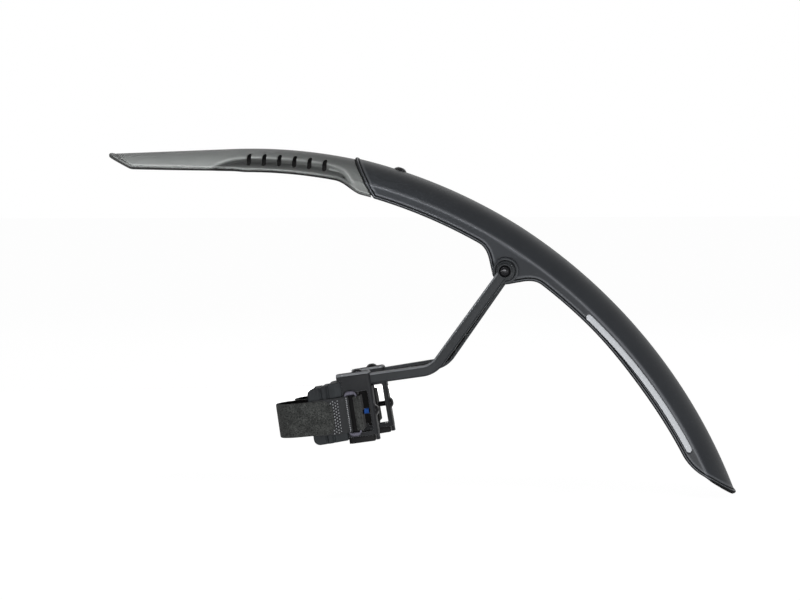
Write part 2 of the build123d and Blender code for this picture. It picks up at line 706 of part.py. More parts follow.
def pad_half_width(x):
    """Half width of the pad between its waist and its front."""
    share = (x - PAD_WAIST_X) / (PAD_SHOULDER_X - PAD_WAIST_X)
    return PAD_WAIST_HALF_WIDTH + min(1.0, share) * (PAD_HALF_WIDTH - PAD_WAIST_HALF_WIDTH)


def carrier_key(gap):
    """Key of the carrier that is moulded into the pad."""
    half = CARRIER_KEY_HEIGHT / 2
    width = SLEEVE_INNER_HALF_Y - CARRIER_GAP
    z = (PAD_SCREW_Z - half, PAD_SCREW_Z + half)
    return block((CARRIER_KEY_FRONT, PAD_REAR + gap), (-width, width), z)


def carrier():
    """Hard block that holds the pad in the bracket, with a foot under the plates."""
    width = SLEEVE_INNER_HALF_Y - CARRIER_GAP
    body = block((PAD_REAR, CARRIER_REAR), (-width, width), (FOOT_BOTTOM, CARRIER_TOP))
    foot_y = (-FOOT_HALF_WIDTH, FOOT_HALF_WIDTH)
    body += block((FOOT_FRONT, FOOT_REAR), foot_y, (FOOT_BOTTOM, FOOT_TOP))
    body += carrier_key(1)
    bore_length = CARRIER_REAR - CARRIER_KEY_FRONT - 2
    bore = Pos(CARRIER_REAR - bore_length / 2, 0, PAD_SCREW_Z) * Rot(0, 90, 0)
    body -= bore * Cylinder(M4_SHANK_R + HOLE_GAP, bore_length)
    return body - pad_nut_block(0.1)


def pad_nut_block(gap):
    """Square of the pad screw's nut, widened by a gap, open to the key's underside."""
    half = M4_NUT_FLATS / 2 + gap
    front = CARRIER_KEY_FRONT + 3
    z = (PAD_SCREW_Z - half, PAD_SCREW_Z + half)
    return block((front - gap, front + M4_NUT_HEIGHT + gap), (-half, half), z)


def pad_nut():
    """Square nut inside the carrier's key."""
    bore = Pos(0, 0, PAD_SCREW_Z) * Rot(0, 90, 0) * Cylinder(M4_SHANK_R + 0.05, 80)
    return pad_nut_block(0) - bore


def pad_screw():
    """Screw through the rear plate into the carrier's nut."""
    length = SLEEVE_HALF - CARRIER_KEY_FRONT - 3
    screw = button_screw(M4_SHANK_R, length, M4_HEAD_R, M4_HEAD_HEIGHT, M4_SOCKET)
    return Pos(SLEEVE_HALF, 0, PAD_SCREW_Z) * Rot(0, 90, 0) * screw


def strap_crossing_x():
    """Middle of the strap where it crosses the clamp, clear of the ring's rear bar."""
    return RING_REAR_BAR_X + RING_BAR / 2 + RING_LIE + STRAP_THICK / 2


def ribbon(path, thickness, width):
    """Band of webbing that follows a path seen from above, centred on the strap's height."""
    return extrude(Pos(0, 0, STRAP_Z - width / 2) * trace(path, thickness), width)


def strap_path():
    """Strap from above: ring's rear bar, across the clamp, round the leg, to its free end."""
    cross = strap_crossing_x()
    back = 2 * RING_REAR_BAR_X - cross
    bar_r = cross - RING_REAR_BAR_X
    plate_y = SLEEVE_OUTER_HALF_Y + STRAP_LIE + STRAP_THICK / 2
    side = STRAP_LEG_R
    path = Line((back, -SLEEVE_INNER_HALF_Y - 0.6), (back, -RING_Y))
    path += ThreePointArc((back, -RING_Y), (RING_REAR_BAR_X, -RING_Y - bar_r), (cross, -RING_Y))
    path += FilletPolyline((cross, -RING_Y), (cross, plate_y), (WINDOW_FRONT, plate_y), radius=1.2)
    path += FilletPolyline(
        (WINDOW_FRONT, plate_y),
        (PLATE_FRONT + 1, plate_y),
        (PAD_WAIST_X, PAD_WAIST_HALF_WIDTH + STRAP_THICK),
        (PAD_SHOULDER_X, side),
        (LEG_X, side),
        radius=3.0,
    )
    path += ThreePointArc((LEG_X, side), (LEG_X - side, 0), (LEG_X, -side))
    path += FilletPolyline((LEG_X, -side), (PAD_SHOULDER_X, -side), strap_end(), radius=6.0)
    return path


def strap_end():
    """Free end of the strap from above, lying on the hook tab."""
    drop = (PAD_SHOULDER_X - STRAP_END_X) * tab_slope()
    return (STRAP_END_X, -STRAP_LEG_R - drop)


def tab_slope():
    """Rise of the hook tab from the ring out to the pad's side, per millimetre along it."""
    return (TAB_Y - tab_ring_y()) / (PLATE_FRONT - PAD_SHOULDER_X)


def tab_ring_y():
    """Distance of the hook tab's outer layer from the clamp's middle, at the ring's front bar."""
    return RING_Y + RING_BAR / 2 + RING_LIE + TAB_THICK / 2


def strap():
    """Loop-faced strap with a rounded free end and an eyelet for the pad screw."""
    band = ribbon(strap_path(), STRAP_THICK, STRAP_WIDTH)
    x, y = strap_end()
    corner = Rectangle(STRAP_END_R, STRAP_END_R, align=(Align.MAX, Align.MAX))
    corner -= Pos(-STRAP_END_R, -STRAP_END_R) * Circle(STRAP_END_R)
    for turn, z in ((0, STRAP_Z + STRAP_WIDTH / 2), (-90, STRAP_Z - STRAP_WIDTH / 2)):
        trim = Pos(x + 0.4, z) * Rot(0, 0, turn) * corner
        band -= extrude(Plane.XZ * trim, 30)
    eyelet = Pos(strap_crossing_x(), 0, PAD_SCREW_Z) * Rot(0, 90, 0) * Cylinder(STRAP_EYELET_R, 4)
    return band - eyelet


def hook_tab():
    """Hook-faced tab folded round the ring's front bar and laid along the pad."""
    outer = tab_ring_y()
    bar_r = outer - RING_Y
    bar_x = RING_FRONT_BAR_X
    lap = TAB_THICK + 0.1
    slope = tab_slope()
    lap_x = PLATE_FRONT - 2.5
    path = FilletPolyline(
        (TAB_FOLD_END, lap - outer - slope * (PLATE_FRONT - TAB_FOLD_END)),
        (lap_x, lap - outer - slope * (PLATE_FRONT - lap_x)),
        (PLATE_FRONT + 0.4, bar_r - RING_Y),
        (bar_x, bar_r - RING_Y),
        radius=0.8,
    )
    path += ThreePointArc((bar_x, bar_r - RING_Y), (bar_x + bar_r, -RING_Y), (bar_x, -outer))
    path += FilletPolyline(
        (bar_x, -outer), (PLATE_FRONT, -outer), (PAD_SHOULDER_X, -TAB_Y), (TAB_FRONT, -TAB_Y), radius=4.0
    )
    return ribbon(path, TAB_THICK, STRAP_WIDTH)


def strap_ring():
    """Flat metal ring with heavy ends, outside the left plate of the clamp."""
    opening = STRAP_WIDTH + 2 * RING_GAP
    front = RING_FRONT_BAR_X - RING_BAR / 2
    rear = RING_REAR_BAR_X + RING_BAR / 2
    middle = (front + rear) / 2
    outer = RectangleRounded(rear - front, opening + 2 * RING_END_BAR, RING_CORNER_R)
    face = Pos(middle, STRAP_Z) * (outer - Rectangle(rear - front - 2 * RING_BAR, opening))
    ring = left_prism(face, RING_Y - RING_BAR / 2, RING_Y + RING_BAR / 2)
    return fillet(ring.edges().filter_by(Axis.Z), RING_ROUND)


def right_side(piece, carried_by_stay):
    """Mirror image of a left piece; what the stay carries is also set down a little."""
    piece = mirror(piece, about=Plane.XZ)
    if not carried_by_stay:
        return piece
    x, z = pivot_point()
    return Pos(x, 0, z) * Rot(0, -RIGHT_STAY_SET, 0) * Pos(-x, 0, -z) * piece


def all_pieces():
    """Every piece by its node name, about the wheel axle."""
    pieces = {
        "main_blade": main_blade(),
        "front_extension": front_extension(),
        "extension_screw": extension_screw(),
        "extension_saddle": extension_saddle(),
        "extension_nut": extension_nut(),
    }
    on_blade = {
        "reflector_strip": reflector_strip(),
        "pivot_bolt": pivot_bolt(),
        "pivot_washer": pivot_washer(),
        "pivot_insert": pivot_insert(),
    }
    on_stay = {"stay": stay()}
    in_clamp = {
        "bracket": bracket(),
        "clamp_screw": clamp_screw(),
        "clamp_nut": clamp_nut(),
        "pad": pad(),
        "pad_carrier": carrier(),
        "pad_screw": pad_screw(),
        "pad_nut": pad_nut(),
        "strap": strap(),
        "hook_tab": hook_tab(),
        "strap_ring": strap_ring(),
    }
    for name, piece in in_clamp.items():
        on_stay[name] = clamp_frame() * piece
    for group, carried in ((on_blade, False), (on_stay, True)):
        for name, piece in group.items():
            pieces["left_" + name] = piece
            pieces["right_" + name] = right_side(piece, carried)
    return pieces


def box_centre(pieces):
    """Middle of the box around all pieces."""
    boxes = [piece.bounding_box() for piece in pieces.values()]
    low = [min(getattr(b.min, axis) for b in boxes) for axis in "XYZ"]
    high = [max(getattr(b.max, axis) for b in boxes) for axis in "XYZ"]
    return [(a + b) / 2 for a, b in zip(low, high)]


def main():
    """Write one STEP file per piece, in the frame of the whole part."""
    os.makedirs("parts", exist_ok=True)
    pieces = all_pieces()
    centre = box_centre(pieces)
    for name, piece in pieces.items():
        export_step(Pos(-centre[0], -centre[1], -centre[2]) * piece, f"parts/{name}.step")


if __name__ == "__main__":
    main()
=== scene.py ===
"""Blender scene of a strap-on bicycle mudguard.

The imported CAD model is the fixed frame. Each class rebuilds one sub-assembly as surfaces worked
out with numpy, in millimetres in a local frame, and dresses it in procedural finishes.
"""

from __future__ import annotations

import json
import logging
import math
from collections.abc import Callable, Sequence
from dataclasses import dataclass
from enum import Enum

import bmesh
import bpy
import numpy as np
from mathutils import Matrix, Vector

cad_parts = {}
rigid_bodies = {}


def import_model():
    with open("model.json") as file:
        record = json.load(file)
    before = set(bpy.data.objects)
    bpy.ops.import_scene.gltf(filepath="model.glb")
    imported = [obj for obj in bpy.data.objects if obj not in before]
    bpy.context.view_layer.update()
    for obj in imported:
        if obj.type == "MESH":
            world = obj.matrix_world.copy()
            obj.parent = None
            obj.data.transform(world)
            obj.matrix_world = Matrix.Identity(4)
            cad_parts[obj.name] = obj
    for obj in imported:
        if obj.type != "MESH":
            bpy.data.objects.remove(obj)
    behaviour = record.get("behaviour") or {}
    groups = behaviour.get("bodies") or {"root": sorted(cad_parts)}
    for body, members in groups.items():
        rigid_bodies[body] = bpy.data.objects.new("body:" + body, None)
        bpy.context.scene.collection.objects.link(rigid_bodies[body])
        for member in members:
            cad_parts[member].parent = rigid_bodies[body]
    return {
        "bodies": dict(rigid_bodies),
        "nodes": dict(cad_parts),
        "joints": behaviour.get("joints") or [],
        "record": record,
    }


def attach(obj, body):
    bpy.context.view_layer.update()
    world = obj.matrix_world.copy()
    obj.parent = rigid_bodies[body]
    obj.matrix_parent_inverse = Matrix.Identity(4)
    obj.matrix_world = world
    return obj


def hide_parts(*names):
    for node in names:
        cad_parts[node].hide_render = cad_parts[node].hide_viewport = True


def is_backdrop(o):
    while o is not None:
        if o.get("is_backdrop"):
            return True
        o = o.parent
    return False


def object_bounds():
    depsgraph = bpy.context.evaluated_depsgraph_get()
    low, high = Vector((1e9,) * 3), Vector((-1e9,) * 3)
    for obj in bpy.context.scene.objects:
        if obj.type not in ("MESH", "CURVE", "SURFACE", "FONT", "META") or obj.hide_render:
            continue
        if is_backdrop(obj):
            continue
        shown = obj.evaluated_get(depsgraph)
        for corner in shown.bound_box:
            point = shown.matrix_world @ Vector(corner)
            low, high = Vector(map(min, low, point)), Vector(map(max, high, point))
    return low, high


LOG = logging.getLogger("mudguard")
MM = 0.001
# Reach within which points become one: in a piece, in a loose mesh in millimetres, in a CAD node
PIECE_REACH = 1e-7
LOOSE_REACH = 1e-5
NODE_REACH = 2e-6
# Angle between faces, in degrees, from which an edge is drawn sharp
PLAIN_SHARP = 40.0
NODE_SHARP = 34.0
SCREW_SHARP = 30.0
SOFT_SHARP = 60.0
ROUND_SHARP = 50.0
# Angle up to which faces of a CAD node are one flat face, and from which its edges are broken
FLAT_ANGLE = math.radians(0.6)
BROKEN_ANGLE = math.radians(32.0)
# Points whose distances are worked out at a time
BATCH = 2000
Array = np.ndarray
Mesh = bpy.types.Mesh
Node = bpy.types.Node
Object = bpy.types.Object
Socket = bpy.types.NodeSocket
Tree = bpy.types.NodeTree
Pair = tuple[float, float]
Triple = tuple[float, float, float]


class Side(Enum):
    """Side of the mudguard, by the prefix of its nodes; the left one is at -Y."""

    LEFT = "left"
    RIGHT = "right"

    @property
    def across(self) -> float:
        """Direction of a clamp's own y axis, which points to the middle of the wheel."""
        return 1.0 if self is Side.LEFT else -1.0

    def node(self, name: str) -> str:
        """Full node or body name of a piece on this side."""
        return f"{self.value}_{name}"


@dataclass(frozen=True)
class Frame:
    """Axes that place points given in millimetres.

    Attributes:
        origin: Place of the frame's zero in the shared frame, in metres.
        axes: Directions of its x, y and z, one per row.
    """

    origin: Array
    axes: Array

    def place(self, points: Array) -> Array:
        """Points of this frame in the shared frame, in metres."""
        return self.origin + points @ self.axes * MM

    def child(self, origin: Triple, x: Triple, y: Triple, z: Triple) -> Frame:
        """Frame given by a point and three directions of this one.

        Args:
            origin: Zero of the new frame, in millimetres of this one.
            x: Direction of the new x axis in this frame.
            y: Direction of the new y axis in this frame.
            z: Direction of the new z axis in this frame.

        Returns:
            The new frame.
        """
        return Frame(self.place(np.array(origin)), np.array([x, y, z], float) @ self.axes)


@dataclass
class Surface:
    """Mesh in the making.

    Attributes:
        points: One row of x, y and z per point, in millimetres of a local frame.
        faces: Point numbers of each face.
        uv: Flat place of each point in millimetres, where a pattern follows the piece.
        paint: Number of the finish on each face, where there is more than one.
        tone: Painted light of each point, from 0 for painted shade over 0.5 to 1 for a painted highlight.
    """

    points: Array
    faces: list[list[int]]
    uv: Array | None = None
    paint: Array | None = None
    tone: Array | None = None


def polar(radius: Array | float, angle: Array | float) -> Array:
    """Points of the side view at a radius and an angle in degrees, from +X towards +Z."""
    turn = np.radians(angle)
    return np.stack(np.broadcast_arrays(radius * np.cos(turn), radius * np.sin(turn)), axis=-1)


def to_polar(points: Array) -> tuple[Array, Array]:
    """Radius and angle in degrees of points in the side view."""
    angle = np.degrees(np.arctan2(points[..., 1], points[..., 0]))
    return np.hypot(points[..., 0], points[..., 1]), angle


def smoothstep(value: Array) -> Array:
    """Cubic ease that goes from 0 to 1 as its value does, level at both ends and beyond them."""
    share = np.clip(value, 0.0, 1.0)
    return share * share * (3.0 - 2.0 * share)


def hump(value: Array, middle: float, width: float) -> Array:
    """Bell curve of height 1 about a middle."""
    return np.exp(-(((value - middle) / width) ** 2))


def smooth_max(first: Array, second: Array, width: float) -> Array:
    """Larger of two curves, rounded by a parabola where they come within a width of each other."""
    overlap = np.maximum(width - np.abs(first - second), 0.0)
    return np.maximum(first, second) + overlap**2 / (4.0 * width)


def corner_arc(before: Array, corner: Array, after: Array, radius: float, count: int) -> Array:
    """Arc that rounds a corner of a flat line, tangent to both of its sides.

    Args:
        before: Point on the side that comes in.
        corner: The corner itself.
        after: Point on the side that goes out.
        radius: Radius of the arc.
        count: Number of points on the arc.

    Returns:
        Points of the arc, one per row.
    """
    back = (before - corner) / np.linalg.norm(before - corner)
    ahead = (after - corner) / np.linalg.norm(after - corner)
    half = math.acos(float(np.clip(back @ ahead, -1.0, 1.0))) / 2.0
    bisector = (back + ahead) / np.linalg.norm(back + ahead)
    centre = corner + bisector * radius / math.sin(half)
    start = corner + back * radius / math.tan(half) - centre
    turn = (math.pi - 2.0 * half) * np.sign(back[1] * ahead[0] - back[0] * ahead[1])
    angles = np.linspace(0.0, turn, count)[:, None]
    square = np.array([-start[1], start[0]])
    return centre + start * np.cos(angles) + square * np.sin(angles)


def run_along(line: Array) -> Array:
    """Length along a line through points, from its start to each of them."""
    return np.concatenate([[0.0], np.cumsum(np.linalg.norm(np.diff(line, axis=0), axis=1))])


def rounded_path(points: Sequence[Triple], spacing: float) -> Array:
    """Flat line through corners, each rounded by its own radius, in steps of equal length.

    Args:
        points: Two coordinates and a radius per corner; the ends have a radius of zero.
        spacing: Length of a step.

    Returns:
        Points of the line, one per row.
    """
    table = np.array(points)
    places = table[:, :2]
    runs = [places[:1]]
    for number in range(1, len(places) - 1):
        runs.append(corner_arc(*places[number - 1:number + 2], table[number, 2], 24))
    line = np.concatenate([*runs, places[-1:]])
    length = run_along(line)
    steps = np.linspace(0.0, length[-1], int(length[-1] / spacing) + 1)
    return np.stack([np.interp(steps, length, line[:, axis]) for axis in (0, 1)], axis=1)


def half_circle(radius: float, count: int) -> Array:
    """Points of a half circle about zero, on the side of +x."""
    turn = np.linspace(-np.pi / 2.0, np.pi / 2.0, count)
    return np.stack([np.cos(turn), np.sin(turn)], axis=1) * radius


def distance_to_line(points: Array, line: Array) -> Array:
    """Least distance from flat points to a line: each is dropped on every run, within its ends.

    Args:
        points: Row or grid of points.
        line: Corners of the line, one per row.

    Returns:
        Distance of each point.
    """
    run = np.diff(line, axis=0)
    squared = (run**2).sum(axis=1)
    flat = points.reshape(-1, 2)
    nearest = []
    for batch in np.array_split(flat, 1 + len(flat) // BATCH):
        offset = batch[:, None, :] - line[:-1]
        share = np.clip((offset * run).sum(axis=2) / squared, 0.0, 1.0)
        gap = offset - share[..., None] * run
        nearest.append(np.sqrt((gap**2).sum(axis=2).min(axis=1)))
    return np.concatenate(nearest).reshape(points.shape[:-1])


def in_space(flat: Array, y: Array | float) -> Array:
    """Points in space from points of the side view and their places across."""
    return np.stack(np.broadcast_arrays(flat[..., 0], y, flat[..., 1]), axis=-1)


def turned(radius: Array, turn: Array, height: Array) -> Array:
    """Points about z at a radius, a turn in radians and a height."""
    return np.stack(np.broadcast_arrays(radius * np.cos(turn), radius * np.sin(turn), height), axis=-1)


def grid_faces(rows: int, columns: int, wrap: bool = False, loop: bool = False) -> Array:
    """Quads of a grid that is counted row by row.

    Args:
        rows: Number of rows.
        columns: Number of columns.
        wrap: Whether the last column is joined to the first.
        loop: Whether the last row is joined to the first.

    Returns:
        Four point numbers per quad.
    """
    index = np.arange(rows * columns).reshape(rows, columns)
    if wrap:
        index = np.concatenate([index, index[:, :1]], axis=1)
    if loop:
        index = np.concatenate([index, index[:1]])
    corners = [index[:-1, :-1], index[:-1, 1:], index[1:, 1:], index[1:, :-1]]
    return np.stack(corners, axis=-1).reshape(-1, 4)


def tube(rings: Array, uv: Array | None = None) -> Surface:
    """Closed surface through a row of rings, with a flat face on its first and last ring.

    Args:
        rings: Points by ring and by place round it.
        uv: Flat place of each point, where a pattern follows the piece.

    Returns:
        The surface.
    """
    rows, around = rings.shape[:2]
    faces = grid_faces(rows, around, wrap=True).tolist()
    ends = np.arange(rows * around).reshape(rows, around)
    faces += [ends[0, ::-1].tolist(), ends[-1].tolist()]
    return Surface(rings.reshape(-1, 3), faces, uv)


def closed_ring(sections: Array) -> Surface:
    """Closed ring through a row of sections that comes back to its start."""
    return Surface(sections.reshape(-1, 3), grid_faces(*sections.shape[:2], wrap=True, loop=True).tolist())


def wall_between(outer: Array, inner: Array) -> Surface:
    """Closed wall between two grids of the same size, joined along all four borders.

    Args:
        outer: Points of its outer face.
        inner: Points of its inner face.

    Returns:
        The wall.
    """
    rows, columns = outer.shape[:2]
    quads = grid_faces(rows, columns)
    index = np.arange(rows * columns).reshape(rows, columns)
    border = np.concatenate([index[0, :-1], index[:-1, -1], index[-1, :0:-1], index[:0:-1, 0]])
    after = np.roll(border, -1)
    rim = np.stack([after, border, border + rows * columns, after + rows * columns], axis=-1)
    faces = np.concatenate([quads, quads[:, ::-1] + rows * columns, rim])
    points = np.concatenate([outer.reshape(-1, 3), inner.reshape(-1, 3)])
    return Surface(points, faces.tolist())


def join(parts: Sequence[Surface]) -> Surface:
    """One surface out of several; where only some have painted light and shade, the others are plain.

    Args:
        parts: The surfaces.

    Returns:
        The whole surface.
    """
    starts = np.cumsum([0] + [len(part.points) for part in parts[:-1]])
    faces = [[i + start for i in face] for part, start in zip(parts, starts) for face in part.faces]
    whole = Surface(np.concatenate([part.points for part in parts]), faces)
    if any(part.tone is not None for part in parts):
        tones = [np.full(len(part.points), 0.5) if part.tone is None else part.tone for part in parts]
        whole.tone = np.concatenate(tones)
    return whole


def prism(outline: Array, reach: Array) -> Surface:
    """Closed prism of an outline, carried by a reach to either side of it."""
    return tube(np.stack([outline - reach, outline + reach]))


def add_object(name: str, data: bpy.types.ID) -> Object:
    """New object of the scene with a mesh, a lamp or a camera."""
    item = bpy.data.objects.new(name, data)
    bpy.context.scene.collection.objects.link(item)
    return item


def read_values(items: bpy.types.bpy_prop_collection, name: str, width: int = 1, kind: type = float) -> Array:
    """Values of one property of all points, corners or faces of a mesh.

    Args:
        items: The points, corners or faces.
        name: Name of the property.
        width: Number of values for each of them.
        kind: Type of the values.

    Returns:
        The values, one row each where there is more than one.
    """
    values = np.empty(len(items) * width, kind)
    items.foreach_get(name, values)
    return values.reshape(-1, width) if width > 1 else values


def tidy_mesh(mesh: Mesh, reach: float) -> None:
    """Merge the points of a mesh that lie within a reach and turn its faces outwards.

    Args:
        mesh: The mesh.
        reach: Distance within which points become one.
    """
    work = bmesh.new()
    work.from_mesh(mesh)
    bmesh.ops.remove_doubles(work, verts=work.verts, dist=reach)
    bmesh.ops.dissolve_degenerate(work, edges=work.edges, dist=reach)
    bmesh.ops.recalc_face_normals(work, faces=work.faces)
    work.to_mesh(mesh)
    work.free()


def loose_object(surface: Surface, name: str) -> Object:
    """Object with a surface's mesh as it stands, merged and turned outwards.

    Args:
        surface: The surface.
        name: Name of the object.

    Returns:
        The object.
    """
    mesh = bpy.data.meshes.new(name)
    mesh.from_pydata(surface.points.tolist(), [], surface.faces)
    tidy_mesh(mesh, LOOSE_REACH)
    return add_object(name, mesh)


def applied_mesh(piece: Object) -> Mesh:
    """New mesh of an object with its modifiers applied."""
    graph = bpy.context.evaluated_depsgraph_get()
    return bpy.data.meshes.new_from_object(piece.evaluated_get(graph))


def carve(body: Surface, cutter: Surface) -> Surface:
    """Body with the space of a cutter taken out of it.

    Args:
        body: Closed surface to cut.
        cutter: Closed surface whose inside is taken out.

    Returns:
        The cut surface.
    """
    pieces = [loose_object(body, "carved"), loose_object(cutter, "cutter")]
    modifier = pieces[0].modifiers.new("carve", "BOOLEAN")
    modifier.operation = "DIFFERENCE"
    modifier.solver = "EXACT"
    modifier.object = pieces[1]
    mesh = applied_mesh(pieces[0])
    points = read_values(mesh.vertices, "co", 3)
    corners = read_values(mesh.loops, "vertex_index", kind=int)
    starts = read_values(mesh.polygons, "loop_start", kind=int)
    faces = [face.tolist() for face in np.split(corners, starts[1:])]
    for used in [mesh, *(piece.data for piece in pieces)]:
        bpy.data.meshes.remove(used)
    return Surface(points, faces)


def linear(colour: str) -> tuple[float, float, float, float]:
    """Linear colour of an sRGB hex value, by the standard curve with its straight foot."""
    parts = np.array([int(colour[i:i + 2], 16) for i in (1, 3, 5)]) / 255.0
    bright = ((parts + 0.055) / 1.055) ** 2.4
    return (*np.where(parts <= 0.04045, parts / 12.92, bright).tolist(), 1.0)


def per_metre(size: float) -> float:
    """Scale of a pattern whose unit is a size in millimetres."""
    return 1.0 / (size * MM)


def add_node(tree: Tree, kind: str, inputs: dict | None = None, **settings: object) -> Node:
    """Add a node with its settings and links.

    Args:
        tree: Node tree that gets the node.
        kind: Blender's name of the node's type, without ShaderNode in front.
        inputs: Value of each named or numbered input, or the output that is linked to it.
        settings: Properties of the node.

    Returns:
        The new node.
    """
    node = tree.nodes.new(f"ShaderNode{kind}")
    for name, value in settings.items():
        setattr(node, name, value)
    for name, value in (inputs or {}).items():
        if isinstance(value, Socket):
            tree.links.new(value, node.inputs[name])
        else:
            node.inputs[name].default_value = value
    return node


def clear_tree(owner: bpy.types.Material | bpy.types.World) -> Tree:
    """Node tree of a material or a world, emptied."""
    owner.use_nodes = True
    owner.node_tree.nodes.clear()
    return owner.node_tree


@dataclass(frozen=True)
class Finish:
    """What every finish has.

    Attributes:
        name: Name of the material.
        slot: Material slot of the record; not used.
        colour: Main colour in sRGB.
        second: Colour of its lighter or darker patches in sRGB.
        roughness: Mean roughness of the surface.
        grain: Width of its grain in millimetres.
        relief: Height of its grain in millimetres.
    """

    name: str
    slot: str
    colour: str
    second: str
    roughness: float
    grain: float
    relief: float

    def material(self) -> bpy.types.Material:
        """Material of this finish, made once.

        Returns:
            The material.
        """
        found = bpy.data.materials.get(self.name)
        if found:
            return found
        material = bpy.data.materials.new(self.name)
        tree = clear_tree(material)
        shader = self.shade(tree)
        add_node(tree, "OutputMaterial", {"Surface": shader.outputs[0]})
        material.diffuse_color = linear(self.colour)
        return material

    def shade(self, tree: Tree) -> Node:
        """Nodes of this finish; the last one is its shader.

        Args:
            tree: Node tree of the material.

        Returns:
            The shader.
        """
        raise NotImplementedError

    def tone(self, tree: Tree, pattern: Socket, low: float = 0.0, high: float = 1.0) -> Socket:
        """Colour that a pattern takes from the main one to the second.

        Args:
            tree: Node tree of the material.
            pattern: Output with the pattern.
            low: Value up to which the colour is the main one.
            high: Value from which it is the second one.

        Returns:
            Output with the colour.
        """
        share = add_node(tree, "MapRange", {"Value": pattern, "From Min": low, "From Max": high})
        mix = add_node(tree, "Mix", {
            0: share.outputs[0], 6: linear(self.colour), 7: linear(self.second)}, data_type="RGBA")
        return mix.outputs[2]

    def skin(self, tree: Tree, colour: Socket, height: Socket, strength: float, inputs: dict) -> Node:
        """Shader of a surface that a pattern raises by up to the finish's relief.

        Args:
            tree: Node tree of the material.
            colour: Output with its colour.
            height: Output with the pattern.
            strength: Share of the relief that shows.
            inputs: Other inputs of the shader; the roughness is the mean one unless it is among them.

        Returns:
            The shader.
        """
        bump = add_node(tree, "Bump", {
            "Height": height, "Strength": strength, "Distance": self.relief * MM})
        return add_node(tree, "BsdfPrincipled", {
            "Base Color": colour, "Roughness": self.roughness, "Normal": bump.outputs[0], **inputs})


@dataclass(frozen=True)
class MouldedPlastic(Finish):
    """Injection-moulded polymer: spark-eroded grain over a soft drift of tone from the flow.

    Attributes:
        specular: Specular level of the polymer's skin.
        drift: Width of the drift of tone in millimetres.
    """

    specular: float = 0.4
    drift: float = 26.0

    def shade(self, tree: Tree) -> Node:
        """Grain as bump and roughness, and a broad noise that mixes both colours.

        Args:
            tree: Node tree of the material.

        Returns:
            The shader.
        """
        place = add_node(tree, "TexCoord").outputs["Object"]
        grain = add_node(tree, "TexNoise", {
            "Vector": place, "Scale": per_metre(self.grain), "Detail": 2.0, "Roughness": 0.6}).outputs[0]
        drift = add_node(tree, "TexNoise", {
            "Vector": place, "Scale": per_metre(self.drift), "Detail": 3.0, "Roughness": 0.5}).outputs[0]
        rough = add_node(tree, "MapRange", {
            "Value": grain, "From Min": 0.25, "From Max": 0.75,
            "To Min": self.roughness - 0.05, "To Max": self.roughness + 0.05})
        return self.skin(tree, self.tone(tree, drift, 0.3, 0.7), grain, 0.6, {
            "Roughness": rough.outputs[0], "IOR": 1.49, "Specular IOR Level": self.specular})


@dataclass(frozen=True)
class PaintedLightPlastic(MouldedPlastic):
    """Moulded polymer with painted light: painted highlights on edges, painted shade in hollows, by the
    mesh's own tone.

    Attributes:
        painted_shade: Colour of the painted shade in hollows and on inner faces, in sRGB.
        painted_highlight: Colour of the painted highlights on edges, crease and ridge, in sRGB.
        dull: Roughness where the painted shade is.
    """

    painted_shade: str = "#000000"
    painted_highlight: str = "#808080"
    dull: float = 0.95

    def skin(self, tree: Tree, colour: Socket, height: Socket, strength: float, inputs: dict) -> Node:
        """Plain skin whose colour goes to the painted shade under a tone of 0.5 and to the painted highlight
        above.

        Args:
            tree: Node tree of the material.
            colour: Output with the plain colour.
            height: Output with the pattern.
            strength: Share of the relief that shows.
            inputs: Other inputs of the shader, the plain roughness among them.

        Returns:
            The shader.
        """
        # Tone under 0.5 mixes in painted shade and a duller roughness; tone above 0.5 mixes in a painted
        # highlight
        painted_light = add_node(tree, "Attribute", attribute_name="tone").outputs["Fac"]
        low = add_node(tree, "MapRange", {"Value": painted_light, "From Max": 0.5}).outputs[0]
        high = add_node(tree, "MapRange", {"Value": painted_light, "From Min": 0.5}).outputs[0]
        dark = add_node(tree, "Mix", {0: low, 6: linear(self.painted_shade), 7: colour}, data_type="RGBA")
        light = add_node(tree, "Mix", {
            0: high, 6: dark.outputs[2], 7: linear(self.painted_highlight)}, data_type="RGBA")
        rough = add_node(tree, "Mix", {
            0: low, 2: self.dull, 3: inputs["Roughness"]}, data_type="FLOAT")
        shaded_inputs = {**inputs, "Roughness": rough.outputs[0]}
        return super().skin(tree, light.outputs[2], height, strength, shaded_inputs)


@dataclass(frozen=True)
class CoatedSteel(Finish):
    """Powder-coated or blackened steel: a fine orange peel with dull specks.

    Attributes:
        metallic: Share of bare metal that shows through.
        specular: Specular level of the coat.
    """

    metallic: float = 0.0
    specular: float = 0.25

    def shade(self, tree: Tree) -> Node:
        """Rounded cells as orange peel, and a finer noise for specks and roughness.

        Args:
            tree: Node tree of the material.

        Returns:
            The shader.
        """
        place = add_node(tree, "TexCoord").outputs["Object"]
        peel = add_node(tree, "TexVoronoi", {
            "Vector": place, "Scale": per_metre(self.grain), "Smoothness": 0.6}, feature="SMOOTH_F1")
        speck = add_node(tree, "TexNoise", {
            "Vector": place, "Scale": per_metre(self.grain * 2.5), "Detail": 4.0,
            "Roughness": 0.65}).outputs[0]
        rough = add_node(tree, "MapRange", {
            "Value": speck, "From Min": 0.3, "From Max": 0.7,
            "To Min": self.roughness - 0.06, "To Max": self.roughness + 0.08})
        return self.skin(tree, self.tone(tree, speck, 0.42, 0.72), peel.outputs[0], 0.5, {
            "Roughness": rough.outputs[0], "Specular IOR Level": self.specular, "Metallic": self.metallic})


